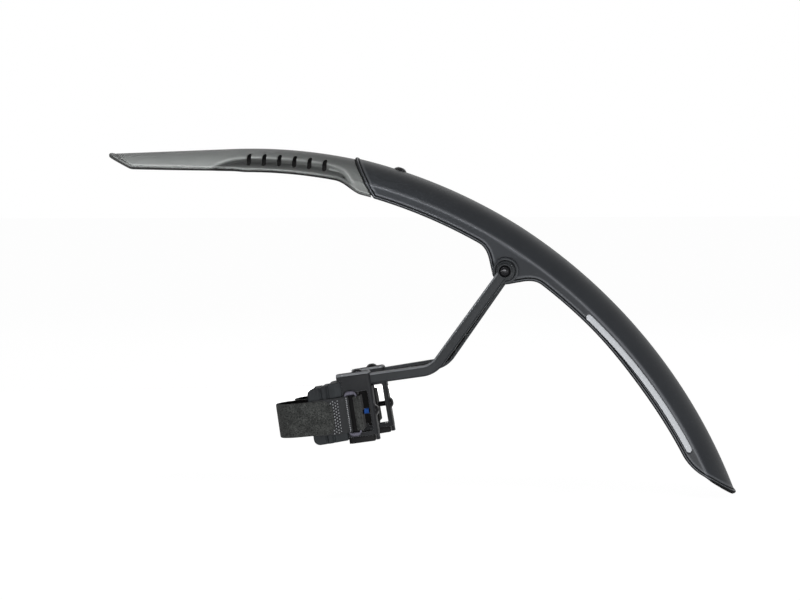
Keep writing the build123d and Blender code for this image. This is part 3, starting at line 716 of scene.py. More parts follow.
@dataclass(frozen=True)
class BareMetal(Finish):
    """Plated or plain metal, drawn or turned: fine lines along one direction.

    Attributes:
        stretch: How many times longer than wide the lines are.
    """

    stretch: float = 12.0

    def shade(self, tree: Tree) -> Node:
        """Noise drawn out along z as lines, for colour, roughness and bump.

        Args:
            tree: Node tree of the material.

        Returns:
            The shader.
        """
        place = add_node(tree, "TexCoord").outputs["Object"]
        drawn = add_node(tree, "Mapping", {
            "Vector": place, "Scale": (1.0, 1.0, 1.0 / self.stretch)})
        lines = add_node(tree, "TexNoise", {
            "Vector": drawn.outputs[0], "Scale": per_metre(self.grain), "Detail": 3.0}).outputs[0]
        rough = add_node(tree, "MapRange", {
            "Value": lines, "From Min": 0.3, "From Max": 0.7,
            "To Min": self.roughness - 0.06, "To Max": self.roughness + 0.06})
        return self.skin(tree, self.tone(tree, lines, 0.3, 0.7), lines, 0.35, {
            "Roughness": rough.outputs[0], "Metallic": 1.0})


@dataclass(frozen=True)
class MouldedRubber(Finish):
    """Compression-moulded rubber: matt, with a dusty bloom in broad patches.

    Attributes:
        patch: Width of the bloom's patches in millimetres.
    """

    patch: float = 9.0

    def shade(self, tree: Tree) -> Node:
        """Fine noise as bump, and a broad noise that mixes the bloom's colour in.

        Args:
            tree: Node tree of the material.

        Returns:
            The shader.
        """
        place = add_node(tree, "TexCoord").outputs["Object"]
        grain = add_node(tree, "TexNoise", {
            "Vector": place, "Scale": per_metre(self.grain), "Detail": 4.0, "Roughness": 0.7})
        bloom = add_node(tree, "TexNoise", {
            "Vector": place, "Scale": per_metre(self.patch), "Detail": 4.0, "Roughness": 0.6})
        return self.skin(tree, self.tone(tree, bloom.outputs[0], 0.35, 0.68), grain.outputs[0], 0.5, {
            "IOR": 1.52, "Specular IOR Level": 0.15})


@dataclass(frozen=True)
class LoopWebbing(Finish):
    """Nylon loop tape: a pile of tangled filaments over a woven ground.

    Attributes:
        pitch: Spacing of the ground weave in millimetres.
    """

    pitch: float = 1.1

    def shade(self, tree: Tree) -> Node:
        """Two noises tangle the pile; uneven cells in the piece's own UV give the ground.

        Args:
            tree: Node tree of the material.

        Returns:
            The shader.
        """
        coords = add_node(tree, "TexCoord").outputs
        pile = add_node(tree, "TexNoise", {
            "Vector": coords["Object"], "Scale": per_metre(self.grain), "Detail": 5.0,
            "Roughness": 0.75, "Distortion": 1.2}).outputs[0]
        clump = add_node(tree, "TexNoise", {
            "Vector": coords["Object"], "Scale": per_metre(self.grain * 4.5), "Detail": 3.0,
            "Roughness": 0.6})
        weave = add_node(tree, "TexVoronoi", {
            "Vector": coords["UV"], "Scale": 1.0 / self.pitch, "Randomness": 0.55})
        fleck = add_node(tree, "MapRange", {"Value": pile, "From Min": 0.4, "From Max": 0.68})
        patch = add_node(tree, "MapRange", {
            "Value": clump.outputs[0], "From Min": 0.3, "From Max": 0.75, "To Min": 0.45, "To Max": 1.0})
        share = add_node(tree, "Math", {
            0: fleck.outputs[0], 1: patch.outputs[0]}, operation="MULTIPLY")
        height = add_node(tree, "Math", {
            0: weave.outputs["Distance"], 1: -0.5, 2: pile}, operation="MULTIPLY_ADD")
        return self.skin(tree, self.tone(tree, share.outputs[0]), height.outputs[0], 0.9, {
            "Specular IOR Level": 0.15, "Sheen Weight": 0.08, "Sheen Roughness": 0.5})


@dataclass(frozen=True)
class HookTape(Finish):
    """Woven nylon tape: a plain weave of close threads in the piece's own UV.

    Attributes:
        thread: Spacing of the threads in millimetres.
    """

    thread: float = 0.9

    def shade(self, tree: Tree) -> Node:
        """Product of two crossed waves, as threads that pass over and under each other.

        Args:
            tree: Node tree of the material.

        Returns:
            The shader.
        """
        coords = add_node(tree, "TexCoord").outputs
        scaled = add_node(tree, "Mapping", {
            "Vector": coords["UV"], "Scale": (1.0 / self.thread,) * 3}).outputs[0]
        wave = {"Vector": scaled, "Scale": 0.5, "Distortion": 0.6, "Detail": 1.0}
        warp, weft = (
            add_node(tree, "TexWave", wave, bands_direction=way).outputs[1] for way in ("X", "Y"))
        cross = add_node(tree, "Math", {0: warp, 1: weft}, operation="MULTIPLY").outputs[0]
        fuzz = add_node(tree, "TexNoise", {
            "Vector": coords["Object"], "Scale": per_metre(self.grain), "Detail": 4.0}).outputs[0]
        share = add_node(tree, "Math", {0: cross, 1: fuzz}, operation="MULTIPLY")
        return self.skin(tree, self.tone(tree, share.outputs[0]), cross, 0.6, {
            "Specular IOR Level": 0.1, "Sheen Weight": 0.05})


@dataclass(frozen=True)
class ReflectiveSheet(Finish):
    """Retro-reflective film: small glass-like cells under a clear layer."""

    def shade(self, tree: Tree) -> Node:
        """Cells of even size tint the colour and turn the surface a little under a clear coat.

        Args:
            tree: Node tree of the material.

        Returns:
            The shader.
        """
        place = add_node(tree, "TexCoord").outputs["Object"]
        cells = add_node(tree, "TexVoronoi", {
            "Vector": place, "Scale": per_metre(self.grain), "Randomness": 0.25}).outputs["Distance"]
        return self.skin(tree, self.tone(tree, cells), cells, 0.3, {
            "Coat Weight": 0.3, "Coat Roughness": 0.5})


# Polypropylene blade with a satin spark-eroded skin; the grain is drawn a little coarse to show
# Its darkest colour is painted shade for grooves, rim, strip recess and inner face; its lightest is a painted
# highlight for bead and crease
BLADE = PaintedLightPlastic(
    "satin_polypropylene_dark", "blade_plastic", "#25272a", "#292b2e", roughness=0.45, grain=0.7,
    relief=0.015, specular=0.12, painted_shade="#070808", painted_highlight="#67696d")
# Same polymer in mid grey, a little duller
# Its darkest colour is painted shade for panel, rim and inner face; its lightest is a painted highlight for
# bead and ridge
NOSE = PaintedLightPlastic(
    "satin_polypropylene_grey", "extension_plastic", "#545655", "#5b5d5c", roughness=0.48, grain=0.7,
    relief=0.015, specular=0.12, painted_shade="#060606", painted_highlight="#767877")
# Glass-filled nylon: dark and satin
STAY = MouldedPlastic(
    "glass_filled_nylon", "stay_plastic", "#212325", "#26282a", roughness=0.5, grain=0.6, relief=0.01,
    specular=0.1)
# The same nylon, lighter: painted highlight on its broken edges and upper chamfer
STAY_HIGHLIGHT = MouldedPlastic(
    "nylon_painted_highlight", "stay_plastic", "#66686b", "#707275", roughness=0.5, grain=0.6, relief=0.01,
    specular=0.1)
# Black nylon block, dull from the mould
BLOCK = MouldedPlastic(
    "black_nylon_block", "hard_plastic", "#0a0a0b", "#0f0f10", roughness=0.62, grain=0.6, relief=0.02,
    specular=0.1)
# Black nylon washer, smoother and with more of a sheen
WASHER = MouldedPlastic(
    "black_nylon_washer", "nylon", "#0d0d0e", "#121213", roughness=0.35, grain=0.5, relief=0.01,
    specular=0.25)
# Powder coat on pressed steel: near black, with a fine peel
COAT = CoatedSteel(
    "black_powder_coat", "bracket_metal", "#191a1c", "#1e1f21", roughness=0.6, grain=0.9, relief=0.004,
    specular=0.12)
# The same coat, lighter: painted highlight on its broken edges and the sleeve's round top
COAT_HIGHLIGHT = CoatedSteel(
    "powder_coat_painted_highlight", "bracket_metal", "#6b6d70", "#77797c", roughness=0.5, grain=0.9, relief=0.004,
    specular=0.2)
# Painted shade: the coat made black and dull on the inner faces of the folded sheet
COAT_SHADE = CoatedSteel(
    "powder_coat_painted_shade", "bracket_metal", "#050506", "#080809", roughness=0.75, grain=0.9, relief=0.004,
    specular=0.05)
# Blackened screws: oxide over steel, so they glint
OXIDE = CoatedSteel(
    "black_oxide_steel", "black_screw", "#131315", "#1c1c1f", roughness=0.22, grain=0.5, relief=0.005,
    metallic=0.5)
# Thread-lock patch: dry blue nylon powder melted on the thread
THREAD_LOCK = MouldedPlastic(
    "blue_thread_lock", "black_screw", "#1d4284", "#265096", roughness=0.65, grain=0.4, relief=0.03,
    specular=0.1)
# Zinc on the nuts: pale and cool
ZINC = BareMetal(
    "zinc_plated_steel", "steel", "#a9abae", "#8d9094", roughness=0.36, grain=0.3, relief=0.01)
# Brass of the threaded inserts: warm yellow with the lines of the lathe
BRASS = BareMetal(
    "turned_brass", "insert_brass", "#b98d4a", "#a37a3d", roughness=0.32, grain=0.3, relief=0.01)
# Nickel-plated ring with a violet cast
NICKEL = BareMetal(
    "dark_nickel_plate", "ring_metal", "#44434b", "#39383f", roughness=0.55, grain=0.5, relief=0.01)
# Rubber of the pads: matt blue-grey with a dusty bloom
RUBBER = MouldedRubber(
    "blue_grey_rubber", "pad_rubber", "#1b1d1f", "#25282a", roughness=0.72, grain=0.6, relief=0.05)
# Loop pile: pale filament ends over a dark ground
LOOP = LoopWebbing(
    "dark_loop_webbing", "strap_fabric", "#0b0c0c", "#5a5c5a", roughness=0.9, grain=0.9, relief=0.3)
# Back of the strap: plain black weave; also painted shade on the strap's run inside the clamp
LOOP_BACK_AND_SHADE = HookTape(
    "black_tape_back_and_shade", "strap_fabric", "#060606", "#0c0c0d", roughness=0.85, grain=0.5, relief=0.08)
# Ground of the hook tab: a dark weave
HOOK_GROUND = HookTape(
    "dark_hook_tape", "hook_fabric", "#242526", "#343538", roughness=0.7, grain=0.5, relief=0.12)
# Hooks on the tab: pale filament
HOOKS = MouldedPlastic(
    "hook_filament", "hook_fabric", "#85868a", "#96979a", roughness=0.6, grain=0.3, relief=0.01, specular=0.2)
# Clear-faced film: pale, with cells too fine to tell apart
FILM = ReflectiveSheet(
    "reflective_film", "reflector", "#8f9296", "#999ca0", roughness=0.6, grain=0.5, relief=0.005)


def make_piece(
    name: str, surface: Surface, frame: Frame, body: str,
    finishes: Sequence[Finish], nodes: Sequence[str] = (), sharp: float = PLAIN_SHARP
) -> Object:
    """Piece of the scene from a surface.

    Args:
        name: Name of the piece.
        surface: Its points and faces.
        frame: Frame that the points are in.
        body: Body of the model that it moves with.
        finishes: Its finishes, in the order of the surface's paint numbers.
        nodes: CAD nodes that it stands for.
        sharp: Angle between faces, in degrees, from which an edge is drawn sharp.

    Returns:
        The object, at the origin with its place in its mesh.
    """
    mesh = bpy.data.meshes.new(name)
    mesh.from_pydata(frame.place(surface.points).tolist(), [], surface.faces)
    if surface.uv is not None:
        corners = read_values(mesh.loops, "vertex_index", kind=int)
        mesh.uv_layers.new(name="UVMap").data.foreach_set("uv", surface.uv[corners].ravel())
    if surface.tone is not None:
        mesh.attributes.new("tone", "FLOAT", "POINT").data.foreach_set("value", surface.tone)
    if surface.paint is not None:
        mesh.polygons.foreach_set("material_index", surface.paint.astype(np.int32))
    tidy_mesh(mesh, PIECE_REACH)
    return dress(name, mesh, body, finishes, nodes, sharp)


def dress(
    name: str, mesh: Mesh, body: str,
    finishes: Sequence[Finish], nodes: Sequence[str], sharp: float
) -> Object:
    """Object for a finished mesh, with its finishes, its body and the nodes that it stands for.

    Args:
        name: Name of the object.
        mesh: Its mesh in the shared frame.
        body: Body of the model that it moves with.
        finishes: Its finishes.
        nodes: CAD nodes that it stands for.
        sharp: Angle between faces, in degrees, from which an edge is drawn sharp.

    Returns:
        The object.
    """
    mesh.shade_smooth()
    mesh.set_sharp_from_angle(angle=math.radians(sharp))
    for finish in finishes:
        mesh.materials.append(finish.material())
    piece = add_object(name, mesh)
    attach(piece, body)
    if nodes:
        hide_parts(*nodes)
    LOG.info("%s: %d faces on %s", name, len(mesh.polygons), body)
    return piece


def edge_rounded(node: str, body: str, finish: Finish, width: float, edge: Finish | None = None) -> Object:
    """Copy of a CAD node with its flat faces whole and its sharp edges broken.

    Args:
        node: Name of the node.
        body: Body of the model that it moves with.
        finish: Its finish.
        width: Width of the broken edges in millimetres.
        edge: Finish of the broken edges, where it isn't the same, here a painted highlight.

    Returns:
        The copy, which stands for the node.
    """
    finishes = [finish, edge] if edge else [finish]
    mesh = bpy.data.objects[node].data.copy()
    mesh.materials.clear()
    for each in finishes:
        mesh.materials.append(each.material())
    work = bmesh.new()
    work.from_mesh(mesh)
    bmesh.ops.remove_doubles(work, verts=work.verts, dist=NODE_REACH)
    bmesh.ops.dissolve_limit(work, angle_limit=FLAT_ANGLE, verts=work.verts, edges=work.edges)
    work.to_mesh(mesh)
    work.free()
    rough = add_object("rough", mesh)
    bevel = rough.modifiers.new("edges", "BEVEL")
    bevel.width = width * MM
    bevel.segments = 2
    bevel.limit_method = "ANGLE"
    bevel.angle_limit = BROKEN_ANGLE
    bevel.use_clamp_overlap = True
    bevel.material = len(finishes) - 1
    rounded = applied_mesh(rough)
    paint = read_values(rounded.polygons, "material_index", kind=np.int32)
    rounded.materials.clear()
    rounded.polygons.foreach_set("material_index", paint)
    bpy.data.objects.remove(rough)
    return dress(f"{node}_piece", rounded, body, finishes, [node], NODE_SHARP)


def face_values(mesh: Mesh) -> tuple[Array, Array]:
    """Normal and centre of each face of a mesh."""
    return read_values(mesh.polygons, "normal", 3), read_values(mesh.polygons, "center", 3)


def edge_rows(height: float) -> Array:
    """Distances from an edge at which a bead of some height and its groove need rows of points."""
    shares = [0.0, 0.06, 0.16, 0.32, 0.5, 0.68, 0.84, 0.93, 1.0, 1.1, 1.22, 1.35, 1.5, 1.65, 1.85,
              2.1, 2.4]
    return height * np.array(shares)


def stations(height: float, leans: Pair, length: float, count: int) -> Array:
    """Shares of a moulding's length at which its sections stand, closest at the beads of both ends.

    Args:
        height: Width of the beads.
        leans: Lean of the first and of the last end, in degrees.
        length: Length of the crown.
        count: Number of sections from one bead to the other.

    Returns:
        Shares from 0 to 1.
    """
    first, last = (edge_rows(height) / math.cos(math.radians(lean)) / length for lean in leans)
    plain = np.linspace(first[-1], 1.0 - last[-1], count)[1:-1]
    return np.concatenate([first, plain, 1.0 - last[::-1]])


def bead_lift(distance: Array, height: float, proud: float, groove: float) -> Array:
    """Lift of a skin near its edge: a full round bead with a rolled lip, and a groove behind it.

    Args:
        distance: Distance of each point from the edge.
        height: Width of the bead.
        proud: How far the bead stands out.
        groove: Depth of the groove.

    Returns:
        Distance of each point from the plain skin, outwards.
    """
    lip_width = 0.35
    lip_roll = 0.4
    groove_from = 0.95
    groove_width = 0.7
    share = distance / height
    across = np.clip(np.abs(2.0 * share - 1.0), 0.0, 1.0)
    bead = np.where(share < 1.0, proud * (1.0 - across**2.5) ** 0.5, 0.0)
    lip = np.clip(1.0 - share / lip_width, 0.0, 1.0)
    behind = np.clip((share - groove_from) / groove_width, 0.0, 1.0)
    return bead - lip_roll * lip**2 - groove * np.sin(np.pi * behind) ** 2


def inner_lift(distance: Array, wall: float) -> Array:
    """Lift of a moulding's inner face: a wall under the skin, rounded outwards next to its edge."""
    width = 0.5
    roll = 0.3
    return roll * np.clip(1.0 - distance / width, 0.0, 1.0) - wall


def edge_painted_light(distance: Array, bead: float, width: float, groove: float, rim: float) -> Array:
    """Painted light along an edge: painted highlights on its bead and the groove's far lip, painted shade in
    groove and rim.

    Args:
        distance: Distance of each point from the edge.
        bead: Distance of the painted highlight line on the bead.
        width: Half width of that line.
        groove: Strength of the painted shade in the groove behind the bead, and of the highlight on its far
            lip.
        rim: Width of the painted shade along the rim under the bead.

    Returns:
        Painted light to add at each point.
    """
    groove_at = 1.85
    far_lip_at = 2.9
    painted_highlight = 0.5 * hump(distance, bead, width) + 0.56 * groove * hump(distance, far_lip_at, 0.5)
    return painted_highlight - groove * hump(distance, groove_at, 0.4) - 0.5 * hump(distance, 0.0, rim)


def both_halves(half: Array) -> Array:
    """Grid of points or values across the whole width from a half that starts at the middle line."""
    mirrored = half[:, :0:-1] * (np.array([1.0, -1.0, 1.0]) if half.shape[2] == 3 else 1.0)
    return np.concatenate([half[:, :0:-1], half[:, :1], mirrored[:, ::-1]], axis=1)


def shell(
    side_view: Callable[[Array], Array], width: Array, across: Array, offsets: Sequence[Array]
) -> Surface:
    """Closed skin over both sides of the middle plane.

    Args:
        side_view: Gives the points of the side view from their offsets, outwards.
        width: Half width of the plain section at each point, from the crown down.
        across: Part of the outward direction that goes across.
        offsets: Offset of each point of the outer and of the inner face from the plain section.

    Returns:
        The skin.
    """
    grids = []
    for offset in offsets:
        y = -(width + across * offset)
        y[:, 0] = 0.0
        grids.append(both_halves(in_space(side_view(offset), y)))
    return wall_between(*grids)


@dataclass(frozen=True)
class Blade:
    """Main blade with its edge bead, ears, bosses and reflective strips.

    Sizes are in millimetres and degrees. Angles go round the axle from the rear to the front, and
    depths go down from the crown. Both end cuts lean from the inward radius.

    Attributes:
        half_angle: Angle across the arch, from the crown to the crease.
        ledge: Width of the ledge at the crease.
        slope: Spread of the flange per millimetre of depth.
        flat_from: Angle from which the arch gets flatter towards the tail.
        flat_by: How far the crown has come in at the tail.
        tail_drop: How much deeper the edge lies at the tail.
        drop_angles: Angles between which it gets deeper.
        ear_tip: Radius of the ear about the pivot.
        ear_half_angle: Half of the ear's spread.
        ear_blend: Radius from the ear into the edge.
        boss: Outer and inner radius of the boss on an ear, and of the hole in it.
        boss_y: Inner end, floor and outer end of the boss, from the middle plane.
        strip_recess: Margin, depth and edge width of the recess round the strip.
        edge_light: Painted highlight and shade along the edge, in the order of edge_painted_light.
        crease_highlight: Painted highlight along the crease, its middle under the crease and its half width.
        sharp: Angle between faces from which an edge is drawn sharp.
    """

    crown_r: float = 365.0
    arch_r: float = 30.0
    half_angle: float = 57.0
    ledge: float = 0.9
    slope: float = 0.145
    wall: float = 2.0
    edge_depth: float = 22.1
    bead_height: float = 1.4
    bead_proud: float = 0.7
    bead_groove: float = 0.55
    flat_from: float = 58.0
    flat_by: float = 2.9
    tail_angle: float = 21.3
    tail_lean: float = 50.0
    tail_corner: float = 32.0
    tail_drop: float = 1.2
    drop_angles: Pair = (46.0, 35.0)
    rim_angle: float = 76.7
    rim_lean: float = 42.0
    rim_corner: float = 2.5
    pivot_angle: float = 56.4
    pivot_depth: float = 28.3
    ear_tip: float = 9.0
    ear_half_angle: float = 46.5
    ear_blend: float = 13.0
    boss: Triple = (8.6, 6.8, 3.4)
    boss_y: Triple = (24.6, 28.7, 30.6)
    strip_depth: float = 18.1
    strip_width: float = 3.8
    strip_angles: Pair = (28.0, 46.0)
    strip_proud: float = 0.3
    strip_recess: Triple = (0.45, 0.4, 0.35)
    edge_light: tuple[float, ...] = (1.1, 0.34, 0.5, 0.62)
    crease_highlight: Triple = (0.4, 0.4, 0.75)
    sharp: float = 42.0

    def cut_line(self, angle: float, lean: float) -> Array:
        """Side view of an end cut, from above the crown to far below the edge.

        Args:
            angle: Angle of the cut at the crown.
            lean: Angle from the inward radius to the cut, towards larger angles.

        Returns:
            Points of the cut.
        """
        run = np.linspace(-25.0, 60.0, 86)[:, None]
        return polar(self.crown_r, angle) + run * polar(1.0, angle + 180.0 + lean)

    def by_depth(self, points: Array) -> tuple[Array, Array]:
        """Angle and depth under the crown of points in the side view."""
        radius, angle = to_polar(points)
        return angle, self.crown_r - radius

    def cut_angle(self, depth: Array, angle: float, lean: float) -> Array:
        """Angle at which an end cut reaches a depth, read off the cut's own line."""
        angles, depths = self.by_depth(self.cut_line(angle, lean))
        return np.interp(depth, depths, angles)

    def tail_at(self, depth: Array) -> Array:
        """Angle of the tail cut at a depth."""
        return self.cut_angle(depth, self.tail_angle, -self.tail_lean)

    def rim_at(self, depth: Array) -> Array:
        """Angle of the rim cut at a depth."""
        return self.cut_angle(depth, self.rim_angle, self.rim_lean)

    def share_at(self, angle: Array, depth: Array) -> Array:
        """Share of the way from the tail cut to the rim cut, at one depth."""
        tail = self.tail_at(depth)
        return (angle - tail) / (self.rim_at(depth) - tail)

    def ear_line(self) -> Array:
        """Edge round the ear: a round tip about the pivot and two flanks, blended into the edge.

        Along the tangent at the pivot the tip is a circle, the flanks are straight lines that
        touch it, the edge is the circle of the flange, and the deeper of both counts, rounded.

        Returns:
            Points of the side view, towards larger angles.
        """
        along = np.linspace(-46.0, 46.0, 93)
        turn = math.radians(self.ear_half_angle)
        tip = np.sqrt(np.maximum(self.ear_tip**2 - along**2, 0.0))
        flank = self.ear_tip / math.sin(turn) - np.abs(along) / math.tan(turn)
        ear = np.where(np.abs(along) < self.ear_tip * math.cos(turn), tip, flank)
        edge_r = self.crown_r - self.edge_depth
        pivot_r = self.crown_r - self.pivot_depth
        edge = pivot_r - np.sqrt(edge_r**2 - along**2)
        width = self.ear_blend / math.tan(turn) ** 2 / 2.0
        down = smooth_max(ear, edge, width)[:, None]
        outward = polar(1.0, self.pivot_angle)
        forward = polar(1.0, self.pivot_angle + 90.0)
        return polar(pivot_r, self.pivot_angle) + along[:, None] * forward - down * outward

    def edge_line(self) -> Array:
        """Lower edge in the side view, from the tail cut round the ear to the rim cut.

        Returns:
            Points of the edge.
        """
        ear = self.ear_line()
        edge_r = self.crown_r - self.edge_depth
        ear_from, ear_to = self.by_depth(ear[[0, -1]])[0]
        tail_r = edge_r - self.tail_drop
        tail = float(self.tail_at(np.array(self.edge_depth + self.tail_drop)))
        rim = float(self.rim_at(np.array(self.edge_depth)))
        tail_arc = corner_arc(
            polar(self.crown_r, self.tail_angle), polar(tail_r, tail),
            polar(tail_r, tail + 2.0), self.tail_corner, 40)
        rim_arc = corner_arc(
            polar(edge_r, rim - 1.0), polar(edge_r, rim),
            polar(self.crown_r, self.rim_angle), self.rim_corner, 8)
        start = self.by_depth(tail_arc[-1])[0]
        end = self.by_depth(rim_arc[0])[0]
        turn = np.linspace(start, ear_from, 60)[1:-1]
        first, last = self.drop_angles
        rear = polar(edge_r - self.tail_drop * smoothstep((first - turn) / (first - last)), turn)
        front = polar(edge_r, np.linspace(ear_to, end, 40)[1:-1])
        return np.concatenate([tail_arc, rear, ear, front, rim_arc])

    def outline(self) -> Array:
        """Whole open outline: tail cut, lower edge and rim cut.

        Returns:
            Points of the outline.
        """
        edge = self.edge_line()
        tail = self.cut_line(self.tail_angle, -self.tail_lean)[:1]
        rim = self.cut_line(self.rim_angle, self.rim_lean)[:1]
        return np.concatenate([tail, edge, rim])

    def depth_rows(self, edge: Array) -> Array:
        """Depths of the rows of points at each station, from the crown to the edge.

        Args:
            edge: Depth of the edge at each station.

        Returns:
            One row of depths per station; rows that the edge has risen past lie at its bead.
        """
        turn = np.radians(np.linspace(0.0, self.half_angle - 1.6, 26))
        arch = self.arch_r * (1.0 - np.cos(turn))
        crease = self.crease()
        quarter = np.radians(np.linspace(0.0, 90.0, 9))
        round_edge = crease + self.ledge * (1.0 - np.cos(quarter))
        ledge = np.concatenate([[crease - 0.35, crease - 0.12], round_edge, [crease + self.ledge + 0.2]])
        bead = edge_rows(self.bead_height)[::-1]
        last = edge[:, None] - bead[0]
        spread = np.linspace(0.0, 1.0, 13)[1:-1]
        flange = ledge[-1] + spread * (last - ledge[-1])
        fixed = np.broadcast_to(np.concatenate([arch, ledge]), (len(edge), len(arch) + len(ledge)))
        return np.concatenate([np.minimum(np.concatenate([fixed, flange], axis=1), last),
                               edge[:, None] - bead], axis=1)

    def crease(self) -> float:
        """Depth of the crease under the crown."""
        return self.arch_r * (1.0 - math.cos(math.radians(self.half_angle)))

    def half_width(self, depth: Array) -> Array:
        """Half width of the skin at a depth: arch, then a quarter-round ledge, then flange.

        Args:
            depth: Depth of each point.

        Returns:
            Half width at each point.
        """
        crease = self.crease()
        above = np.minimum(depth, crease)
        arch = np.sqrt(self.arch_r**2 - (self.arch_r - above) ** 2)
        below = self.ledge - np.clip(depth - crease, 0.0, self.ledge)
        step = np.sqrt(self.ledge**2 - below**2)
        return arch + step + np.maximum(depth - crease, 0.0) * self.slope

    def plain_normal(self, depth: Array) -> tuple[Array, Array]:
        """Outward direction of the skin, up and across, eased from the arch into the flange.

        Args:
            depth: Depth of each point.

        Returns:
            Parts of the direction that go up and across.
        """
        crease = self.crease()
        ease = smoothstep((depth - crease + 2.0) / 4.0)
        flange = math.atan(self.slope)
        rise = 1.0 - np.minimum(depth, crease) / self.arch_r
        up = rise * (1.0 - ease) + math.sin(flange) * ease
        across = np.sqrt(np.maximum(1.0 - rise**2, 0.0)) * (1.0 - ease) + math.cos(flange) * ease
        size = np.hypot(up, across)
        return up / size, across / size

    def radius_at(self, angle: Array, depth: Array) -> Array:
        """Radius at an angle and a depth; towards the tail the arch flattens from the crown down."""
        share = np.clip((self.flat_from - angle) / (self.flat_from - self.tail_angle), 0.0, 1.1)
        return self.crown_r - depth - self.flat_by * share * np.clip(1.0 - depth / self.edge_depth, 0.0, 1.0)

    def strip_distance(self, angle: Array, depth: Array) -> Array:
        """Distance of points on the flange from the strip's middle line.

        Args:
            angle: Angle of each point.
            depth: Depth of each point.

        Returns:
            Distance of each point.
        """
        low, high = self.strip_angles
        beyond = np.maximum(np.maximum(low - angle, angle - high), 0.0)
        along = np.radians(beyond) * (self.crown_r - self.strip_depth)
        return np.hypot(along, depth - self.strip_depth)

    def skin(self) -> Surface:
        """Moulded skin: stations lean from the tail cut to the rim cut, rows go down the section.

        Returns:
            The skin, with its painted light and shade.
        """
        crown = math.radians(self.rim_angle - self.tail_angle) * self.crown_r
        share = stations(self.bead_height, (self.tail_lean, self.rim_lean), crown, 222)
        edge_angle, edge_depth = self.by_depth(self.edge_line())
        edge = np.interp(share, self.share_at(edge_angle, edge_depth), edge_depth)
        depth = self.depth_rows(edge)
        tail = self.tail_at(depth)
        angle = tail + share[:, None] * (self.rim_at(depth) - tail)
        up, across = self.plain_normal(depth)
        distance = distance_to_line(polar(self.crown_r - depth, angle), self.outline())
        margin, sink, ease = self.strip_recess
        recess = smoothstep((self.strip_width / 2.0 + margin - self.strip_distance(angle, depth)) / ease)
        lift = bead_lift(distance, self.bead_height, self.bead_proud, self.bead_groove) - sink * recess
        radius = self.radius_at(angle, depth)
        skin = shell(lambda offset: polar(radius + up * offset, angle), self.half_width(depth), across,
                     (lift, inner_lift(distance, self.wall)))
        # Painted highlights on the bead and the crease; painted shade in the groove, along the rim, in the
        # strip's recess and over the whole inner face
        amount, below, width = self.crease_highlight
        painted_light = 0.5 + edge_painted_light(distance, *self.edge_light) + amount * hump(depth, self.crease() + below, width)
        tone = both_halves(np.clip(painted_light - 0.5 * recess, 0.0, 1.0)[..., None]).ravel()
        skin.tone = np.concatenate([tone, np.zeros_like(tone)])
        return skin

    def bosses(self) -> list[Surface]:
        """Round boss on each ear: a ring with a sunk floor, turned about the pivot.

        Returns:
            Both bosses.
        """
        outer, inner, hole = self.boss
        low, floor, high = self.boss_y
        soft = 0.5
        profile = np.array([
            (hole, low), (outer - soft, low), (outer - 0.15, low + 0.15), (outer, low + soft),
            (outer, high - soft), (outer - 0.15, high - 0.15), (outer - soft, high),
            (inner + 0.3, high), (inner + 0.08, high - 0.08), (inner, high - 0.3),
            (inner, floor + 0.2), (inner - 0.2, floor), (hole, floor),
        ])
        turn = np.linspace(0.0, 2.0 * np.pi, 64, endpoint=False)[:, None]
        ring = closed_ring(turned(profile[:, 0], turn, profile[:, 1]))
        pivot = polar(self.crown_r - self.pivot_depth, self.pivot_angle)
        rings = []
        for sign in (-1.0, 1.0):
            points = in_space(ring.points[:, :2] + pivot, sign * ring.points[:, 2])
            rings.append(Surface(points, ring.faces))
        return rings

    def strip(self, side: Side) -> Surface:
        """Reflective strip: a flat pill with soft edges that follows the flange.

        Args:
            side: Side that it is on.

        Returns:
            The strip.
        """
        low, high = self.strip_angles
        radius = self.crown_r - self.strip_depth
        cap = self.strip_width / 2.0
        turn = np.linspace(0.0, np.pi / 2.0, 9)
        length = math.radians(high - low) * radius
        along = np.concatenate([-cap * np.cos(turn), np.linspace(0.0, length, 80)[1:-1],
                                length + cap * np.sin(turn)])
        half = np.concatenate([cap * np.sin(turn), np.full(78, cap), cap * np.cos(turn)])
        across = np.array([-1.0, -0.96, -0.85, -0.4, 0.4, 0.85, 0.96, 1.0, 1.0, 0.0, -1.0])
        lift = np.array([0.0, 0.7, 1.0, 1.05, 1.05, 1.0, 0.7, 0.0, -1.0, -1.0, -1.0])
        depth = self.strip_depth + half[:, None] * across
        up, out = self.plain_normal(depth)
        offset = np.where(lift > 0.0, lift * self.strip_proud, lift * 0.45)
        flat = polar(self.crown_r - depth + up * offset, low + np.degrees(along / radius)[:, None])
        y = -side.across * (self.half_width(depth) + out * offset)
        return tube(in_space(flat, y))

    def build(self, wheel: Frame) -> None:
        """Make and dress the blade and its strips.

        Args:
            wheel: Frame about the wheel's axle.
        """
        surface = join([self.skin(), *self.bosses()])
        make_piece("blade_moulding", surface, wheel, "blade", [BLADE], ["main_blade"], self.sharp)
        for side in Side:
            node = side.node("reflector_strip")
            make_piece(f"{node}_film", self.strip(side), wheel, "blade", [FILM], [node])


